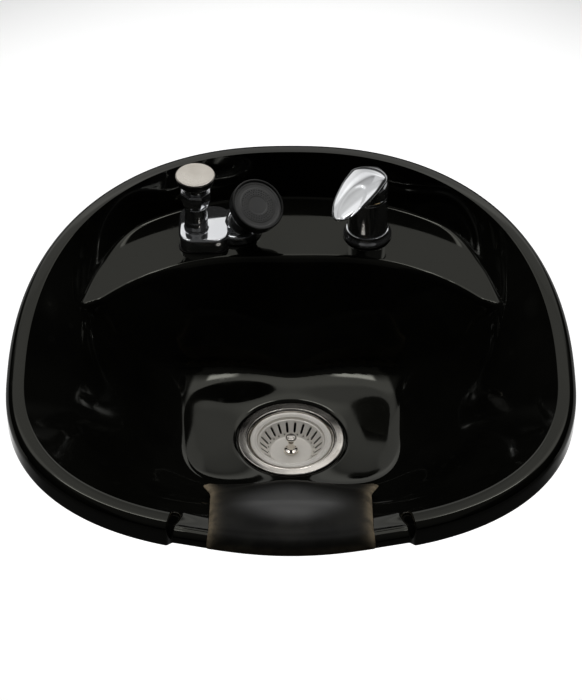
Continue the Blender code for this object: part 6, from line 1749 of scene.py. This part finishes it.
@dataclass
class Breaker(Assembly):
    """The vacuum breaker's column, from its collar to its cap."""

    shank_low: float = -54 * MM
    riser_low: float = 17.3 * MM
    riser: Corners = ((6, 29), (12, 29, 0.4), (12, 12.5, 1), (12.7, 11.5, 0.6), (12.9, 3, 1.5),
                      (13.5, 0.6, 0.8), (13.5, 0, 0.2), (9.5, 0))
    housing: Corners = (
        (7, 0), (7, 10.6), (5, 10.6), (5, 21), (14.2, 21, 0.6), (15.4, 20.2, 0.6),
        (15.9, 18.5, 0.8), (15.9, 13, 1.6), (13.2, 4.0, 2), (12.6, 0.8, 0.5), (12.2, 0, 0.2))
    bonnet: Corners = ((5, 0), (5, 8), (12.6, 8, 0.4), (13, 6.5, 0.8), (13, 0, 0.3))
    skirt: Corners = ((0, 0), (17.0, 0, 1.0), (19.6, 1.6, 1.4), (20.2, 4.0, 1.2), (20.2, 8.5, 0.5),
                      (0, 8.5))
    disc: Corners = ((0, 0), (20.6, 0, 0.3), (21, 0.7, 0.4), (20.3, 2.1, 0.7), (18.8, 2.2, 0.4),
                     (18.2, 2.0, 0.3), (0, 2.0))
    stack: Row = (29 * MM, 21 * MM, 8 * MM, 8.5 * MM)
    octagon_from: float = 12.0 * MM
    octagon_over: float = 1.5 * MM

    def make(self) -> None:
        """Build and dress the column's pieces, from the deck up, a gap apart."""
        place = over_drain(*BREAKER_SPOT, DECK_RISE)
        rises = self.riser_low + np.cumsum([0.0, *(height + GAP for height in self.stack)])
        path = rounded_path([(6 * MM, self.shank_low), *in_metres(self.riser, rises[0]),
                             (9.5 * MM, self.shank_low, 0.6 * MM)], closed=True)
        riser = turned("riser_tube", path, place, 96, closed=True)
        self.dress(riser, Body.BOWL, Slot.CHROME, "breaker_riser")
        path = rounded_path(in_metres(self.housing, rises[1]), closed=True)
        share = np.clip((path[:, 0] - self.octagon_from) / self.octagon_over, 0.0, 1.0)
        housing = turned("octagon_housing", path, place, 160, closed=True, flats=8,
                         flat_rows=share, crease=28.0)
        self.dress(housing, Body.BOWL, Slot.CHROME, "breaker_housing")
        path = rounded_path(in_metres(self.bonnet, rises[2]), closed=True)
        bonnet = turned("bonnet_tube", path, place, 96, closed=True)
        self.dress(bonnet, Body.BOWL, Slot.CHROME, "breaker_bonnet")
        skirt = turned("cap_skirt", rounded_path(in_metres(self.skirt, rises[3])), place, 128)
        self.dress(skirt, Body.BOWL, Slot.BLACK_PLASTIC, "breaker_cap_skirt")
        disc = turned("cap_disc", rounded_path(in_metres(self.disc, rises[4])), place, 128)
        finish = Metal("cap steel", (0.86, 0.81, 0.73), (0.78, 0.73, 0.65), (0.30, 0.42),
                       Brush.ROUND, 2600.0, 0.000008, in_frame(BREAKER_SPOT))
        self.dress(disc, Body.BOWL, Slot.BRUSHED_STEEL, "breaker_cap_disc", finish=finish)


@dataclass
class FixturePlate(Assembly):
    """The chrome casting on the deck that carries the breaker and the spray's holder."""

    spray: "HandSpray"
    left: float = -120 * MM
    right: float = -66 * MM
    front: float = 149 * MM
    rear: float = 211 * MM
    squareness: float = 4.2
    edge_roll: float = 2.6 * MM
    low: float = 1.6 * MM
    top: float = 17 * MM
    lobe_top: float = 12 * MM
    lobe_radius: float = 27 * MM
    holder_radius: float = 16.1 * MM
    holder_bore: float = 12.7 * MM
    holder_along: float = 50 * MM
    holder_length: float = 9 * MM
    pocket_radius: float = 19.8 * MM
    pocket_top: float = 2.4 * MM
    riser_hole: float = 9.8 * MM

    def block(self) -> Object:
        """The main block: a rounded rectangle whose top edge rolls over.

        Rings of the outline are drawn in as they rise past the edge, by a quarter circle.
        """
        turn = np.linspace(0, TAU, 160, endpoint=False)
        half_x, half_y = (self.right - self.left) / 2, (self.rear - self.front) / 2
        power, edge = self.squareness, self.edge_roll
        squared = (np.abs(np.cos(turn)) ** power + np.abs(np.sin(turn)) ** power) ** (-1 / power)
        unit = np.stack([np.cos(turn) * squared, np.sin(turn) * squared], axis=-1)
        arc = np.radians(np.linspace(0, 90, 9))
        inset = np.concatenate([[half_x, 0.6 * MM, 0.0], edge * (1 - np.cos(arc)),
                                [edge + 3 * MM, 0.94 * half_x, half_x]])
        height = np.concatenate([[self.low, self.low, self.low + 0.8 * MM],
                                 self.top - edge + edge * np.sin(arc), [self.top] * 3])
        scale = np.stack([half_x - inset, half_y - inset], axis=-1)
        scale[[0, -1]] = 0.0
        plan = unit * scale[:, None, :] + [self.left + half_x, self.front + half_y]
        rings = np.broadcast_to(height[:, None, None], plan.shape[:2] + (1,))
        points = placed(np.concatenate([plan, rings], axis=-1), over_drain(0, 0, DECK_RISE))
        quads = grid_quads(points.shape[0], points.shape[1], False, True)
        return mesh_piece("fixture_casting", points.reshape(-1, 3), quads)

    def build(self) -> Object:
        """Block, lobe and tilted holder ring, with the bores through them."""
        plate, spray = self.block(), self.spray
        x, y = spray.at_rise(DECK_RISE + self.lobe_top / 2)
        lobe = rounded_path([(0, self.low), (self.lobe_radius - 0.5 * MM, self.low, 0.4 * MM),
                             (self.lobe_radius, self.low + 1.0 * MM, 0.8 * MM),
                             (self.lobe_radius, self.lobe_top, 4.0 * MM), (0, self.lobe_top)],
                            steps=10)
        join(plate, turned("lobe", lobe, over_drain(x, y, DECK_RISE), 128), Join.UNION)
        axis = spray.place()
        near, far = -self.holder_along, -self.holder_along - self.holder_length
        ring = rounded_path([(0, far), (self.holder_radius, far),
                             (self.holder_radius, near, 1.2 * MM), (0, near)], steps=8)
        join(plate, turned("holder", ring, axis, 96), Join.UNION)
        x, y = spray.at_rise(DECK_RISE - 6 * MM)
        bore = rod(self.holder_bore, far - 20 * MM, near + 3 * MM, axis, 96)
        join(plate, bore, Join.DIFFERENCE)
        pocket = rod(self.pocket_radius, -2 * MM, self.pocket_top, over_drain(x, y, DECK_RISE),
                     64)
        join(plate, pocket, Join.DIFFERENCE)
        hole = rod(self.riser_hole, 0, 20 * MM, over_drain(*BREAKER_SPOT, DECK_RISE), 64)
        join(plate, hole, Join.DIFFERENCE)
        return plate

    def make(self) -> None:
        """Build and dress the casting."""
        self.dress(self.build(), Body.BOWL, Slot.CHROME, "fixture_plate")


@dataclass
class HandSpray(Assembly):
    """The hand spray: its head, the recessed nozzle face and the grip in its holder."""

    face_across: float = -34.4 * MM
    face_back: float = 158 * MM
    face_rise: float = 190 * MM
    lean: Triple = (0.36, -0.45, 0.817)
    radius: float = 29 * MM
    inner: float = 26.6 * MM
    side: float = 17 * MM
    neck: float = 32 * MM
    neck_radius: float = 13 * MM
    duct: float = 5 * MM
    inset: float = 2.2 * MM
    recess: float = 8.5 * MM
    face_back_depth: float = 5.2 * MM
    face_steps: Corners = ((24.2, 0, 0.3), (23.6, -0.5, 0.3), (20.0, -0.6, 0.8), (19.2, -0.1, 0.5),
                           (10.6, 0.1, 0.6), (9.8, -0.3, 0.5), (0, -0.1))
    grip_section: Corners = ((5, -36), (5, 0), (12.2, 0, 0.5), (12.2, -24, 6), (9.0, -32, 2),
                             (6.6, -36))
    bud: Corners = ((0.75, -0.3), (0.55, 0.5, 0.15), (0.30, 0.5), (0.22, 0.1), (0, 0.1))
    bud_rise: float = 0.05 * MM
    rings: tuple[tuple[float, int], ...] = ((12.4 * MM, 26), (14.8 * MM, 32), (17.2 * MM, 38))

    def direction(self) -> Vector:
        """Unit vector out of the face."""
        return Vector(self.lean).normalized()

    def place(self) -> Matrix:
        """Place with Z out of the face, from the middle of its rim."""
        turn = Vector((0, 0, 1)).rotation_difference(self.direction()).to_matrix().to_4x4()
        return over_drain(self.face_across, self.face_back, self.face_rise) @ turn

    def at_rise(self, rise: float) -> Pair:
        """Plan place, from the drain, where the spray's axis passes a height.

        Args:
            rise: Height over the drain.

        Returns:
            X and Y from the drain.
        """
        direction = self.direction()
        along = (rise - self.face_rise) / direction.z
        return self.face_across + direction.x * along, self.face_back + direction.y * along

    def head(self) -> Object:
        """The head: a rounded rim, a straight side and a cone down to the neck."""
        path = rounded_path([
            (self.duct, -self.neck), (self.duct, -self.recess), (self.inner, -self.recess),
            (self.inner, 0, 0.8 * MM), (self.radius - 0.5 * MM, 0, 1.0 * MM),
            (self.radius, -1.6 * MM, 1.2 * MM), (self.radius - 0.3 * MM, -12 * MM, 3 * MM),
            (self.radius - 3.2 * MM, -self.side, 3 * MM), (17.5 * MM, -25 * MM, 6 * MM),
            (self.neck_radius, -self.neck)], closed=True, steps=8)
        return turned("spray_bell", path, self.place(), 128, closed=True)

    def buds(self, low: float) -> Object:
        """The small nozzles, as copies of one turned bud on three rings.

        Args:
            low: Height of the face that they stand on.

        Returns:
            All of them as one object.
        """
        path, sides = rounded_path(in_metres(self.bud), steps=1), 8
        turn = np.arange(sides) * TAU / sides
        shape = np.stack([path[:, :1] * np.cos(turn), path[:, :1] * np.sin(turn),
                          np.broadcast_to(path[:, 1:2], (len(path), sides))], axis=-1)
        spots = [(radius * math.cos(a), radius * math.sin(a), low + self.bud_rise)
                 for radius, count in self.rings
                 for a in np.arange(count) * TAU / count + radius * 400]
        cloud = shape.reshape(1, -1, 3) + np.array(spots)[:, None, :]
        quads = grid_quads(len(path), sides, False, True)
        first = np.arange(len(spots))[:, None, None] * len(path) * sides
        return mesh_piece("nozzle_buds", placed(cloud, self.place()).reshape(-1, 3),
                          (quads[None] + first).reshape(-1, 4))

    def face(self) -> Object:
        """The nozzle face: shallow steps round a raised middle, and three rings of nozzles."""
        edge, low = self.inner - GAP, -self.inset
        path = rounded_path([(0, -self.face_back_depth), (edge, -self.face_back_depth),
                             (edge, low, 0.4 * MM), *in_metres(self.face_steps, low)])
        face = turned("spray_nozzles", path, self.place(), 128)
        both = [face, self.buds(low)]
        with bpy.context.temp_override(active_object=face, selected_editable_objects=both):
            bpy.ops.object.join()
        return face

    def grip(self) -> Object:
        """The grip below the head, which narrows to the hose coupling."""
        path = rounded_path(in_metres(self.grip_section, -self.neck - GAP), closed=True, steps=8)
        return turned("spray_handle", path, self.place(), 96, closed=True)

    def make(self) -> None:
        """Build and dress the three pieces."""
        self.dress(self.head(), Body.SPRAY, Slot.BLACK_PLASTIC, "spray_head")
        self.dress(self.face(), Body.SPRAY, Slot.NOZZLE_PLASTIC, "spray_face")
        self.dress(self.grip(), Body.SPRAY, Slot.BLACK_PLASTIC, "spray_grip")


class Hardware(Assembly):
    """CAD nodes whose shape stays: bracket, cradle, seals, nuts, tails and cartridge."""

    def make(self) -> None:
        """Give every shown CAD node the finish of its own slot."""
        slots = {row["node"]: row["material_slot"] for row in frame["record"]["subparts"]}
        for name, node in sorted(frame["nodes"].items()):
            if node.hide_render:
                continue
            slot = Slot(slots[name])
            put_on(node, FINISHES[slot])
            LOG.info("%s: kept, in %s", name, slot.value)


class Way(Enum):
    """Directions that the sky's brightness changes along; aside has no sign."""

    ACROSS = 0
    ALONG = 1
    UP = 2
    ASIDE = 3


@dataclass(frozen=True)
class Ramp:
    """An eased step of brightness along one way: below before its start, above past its end."""

    way: Way
    start: float
    end: float
    below: float
    above: float


@dataclass
class Studio:
    """A pale floor, soft light and the camera at the photograph's angle."""

    target: Triple = (0.0, -0.153, -0.030)
    elevation: float = 41.0
    distance: float = 3.28
    lens: float = 154.3
    sensor: float = 36.0
    fill_place: Triple = (0.0, -0.3, 2.5)
    fill_size: float = 1.5
    fill_power: float = 18.0
    floor_rise: float = -0.85
    floor_side: float = 30.0
    floor_tints: tuple[Triple, Triple] = ((0.90, 0.90, 0.90), (0.94, 0.94, 0.93))
    sheet_tint: Triple = (0.10, 0.10, 0.10)
    sheet_middle: Triple = (0.0, 0.85, 0.0)
    sheet_radius: float = 1.05
    sheet_fade: float = 0.7
    sheet_glow: float = 0.80
    side_glow: float = 0.30
    inside: Ramp = Ramp(Way.ASIDE, 0.50, 0.57, 1.0, 0.10)
    wall_steps: tuple[Ramp, ...] = (Ramp(Way.UP, 0.24, 0.36, 0.03, 0.60),
                                    Ramp(Way.UP, 0.55, 0.64, 0.0, 0.25))
    wall: tuple[Ramp, ...] = (Ramp(Way.ASIDE, 0.05, 0.40, 1.0, 1.5), inside,
                              Ramp(Way.ALONG, 0.64, 0.73, 0.05, 1.0))
    lobes: tuple[tuple[Ramp, ...], ...] = (
        (Ramp(Way.ASIDE, 0.35, 0.50, 0.0, 0.35), Ramp(Way.UP, 0.08, 0.20, 1.0, 0.0),
         Ramp(Way.ALONG, 0.10, 0.40, 0.0, 1.0)),
        (Ramp(Way.UP, 0.66, 0.80, 0.0, 1.0), Ramp(Way.ALONG, 0.06, 0.22, 0.06, 0.95),
         Ramp(Way.ALONG, 0.34, 0.44, 1.0, 0.63), Ramp(Way.ALONG, 0.49, 0.60, 1.0, 0.75), inside),
        (Ramp(Way.ASIDE, 0.12, 0.20, 0.0, 1.0), inside, Ramp(Way.ALONG, 0.48, 0.56, 0.0, 0.62),
         Ramp(Way.UP, 0.45, 0.55, 0.0, 1.0)))
    strip: tuple[Ramp, ...] = (Ramp(Way.ALONG, 0.10, 0.13, 0.0, 4.5),
                               Ramp(Way.ALONG, 0.17, 0.20, 1.0, 0.0),
                               Ramp(Way.UP, 0.6, 0.8, 0.0, 1.0))
    strip_spans: tuple[Pair, ...] = ((-0.36, -0.05), (0.10, 0.36))
    strip_fade: float = 0.05

    def floor(self) -> None:
        """A wide pale floor well below the wall-hung bowl, with a sheet lying behind its middle."""
        side = self.floor_side
        corners = np.array([(-side, -side, 0), (side, -side, 0), (side, side, 0), (-side, side, 0)])
        ground = mesh_piece("floor", corners + [0, 0, self.floor_rise], [[0, 1, 2, 3]])
        material, graph, shader, place = blank_material("pale floor")
        away = graph.vector("DISTANCE", {0: place, 1: self.sheet_middle}, "Value")
        sheet = graph.remap(away, self.sheet_radius, self.sheet_radius + self.sheet_fade, 1.0, 0.0)
        pale = graph.tint(graph.noise(place, 0.7, 2.0), *map(rgba, self.floor_tints))
        x, y, _ = graph.add("SeparateXYZ", {0: place}).outputs
        beside = graph.times(graph.remap(graph.maths("ABSOLUTE", x), 0.9, 1.3, 0.0,
                                         self.side_glow),
                             graph.remap(y, -0.4, 0.4, 0.0, 1.0))
        graph.fill(shader, {
            "Base Color": graph.tint(sheet, rgba(self.sheet_tint), pale),
            "Roughness": 0.9,
            "Emission Color": (1.0, 1.0, 1.0, 1.0),
            "Emission Strength": graph.largest(graph.times(sheet, self.sheet_glow), beside)})
        ground.data.materials.append(material)

    def sky(self) -> None:
        """A soft surround: pale high up and behind the bowl, dark low down and behind the camera.

        Its level is the largest of four lobes, each a product of ramps, and two bright strips
        overhead are added to it.
        """
        world = bpy.data.worlds.new("studio")
        bpy.context.scene.world = world
        world.use_nodes = True
        graph = Graph(world.node_tree)
        way = graph.add("TexCoord").outputs["Generated"]
        ways = list(graph.add("SeparateXYZ", {0: way}).outputs)
        ways.append(graph.maths("ABSOLUTE", ways[Way.ACROSS.value]))

        def product(ramps: Iterable[Ramp]) -> NodeSocket:
            """The ramps' product."""
            return graph.times(*(graph.remap(ways[ramp.way.value], ramp.start, ramp.end,
                                             ramp.below, ramp.above) for ramp in ramps))

        low, high = (product([step]) for step in self.wall_steps)
        behind = graph.times(graph.maths("ADD", low, high), product(self.wall))
        level = graph.largest(behind, *(product(lobe) for lobe in self.lobes))
        for left, right in self.strip_spans:
            ends = (Ramp(Way.ACROSS, left, left + self.strip_fade, 0.0, 1.0),
                    Ramp(Way.ACROSS, right - self.strip_fade, right, 1.0, 0.0))
            level = graph.maths("ADD", level, product([*self.strip, *ends]))
        background = world.node_tree.nodes["Background"]
        graph.fill(background, {"Color": (1.0, 1.0, 1.0, 1.0), "Strength": level})

    def fill(self) -> None:
        """A square soft lamp straight above, which the gloss doesn't show."""
        lamp = bpy.data.lights.new("fill", "AREA")
        lamp.size, lamp.energy = self.fill_size, self.fill_power
        holder = bpy.data.objects.new("fill", lamp)
        bpy.context.scene.collection.objects.link(holder)
        holder.location = self.fill_place
        holder.visible_glossy = False

    def camera(self) -> None:
        """The camera, level with the bowl's middle line and looking down on it."""
        lens = bpy.data.cameras.new("camera")
        lens.lens = self.lens
        lens.sensor_width = lens.sensor_height = self.sensor
        lens.sensor_fit = "AUTO"
        lens.clip_start, lens.clip_end = 0.1, 100.0
        holder = bpy.data.objects.new("camera", lens)
        bpy.context.scene.collection.objects.link(holder)
        turn = math.radians(self.elevation)
        back = Vector((0.0, -math.cos(turn), math.sin(turn)))
        holder.location = Vector(self.target) + back * self.distance
        holder.rotation_euler = (-back).to_track_quat("-Z", "Y").to_euler()
        bpy.context.scene.camera = holder

    def make(self) -> None:
        """Set the whole studio up."""
        bpy.context.scene.view_settings.view_transform = "Standard"
        self.floor()
        self.sky()
        self.fill()
        self.camera()


def main() -> None:
    """Build every sub-assembly in order, then the studio."""
    logging.basicConfig(level=logging.INFO, format="%(message)s")
    bowl, spray = Bowl(), HandSpray()
    for group in (bowl, NeckRest(bowl), Drain(), Mixer(), spray, Breaker(), FixturePlate(spray),
                  Hardware(), Studio()):
        LOG.info("%s", type(group).__name__)
        group.make()


if __name__ == "__main__":
    main()
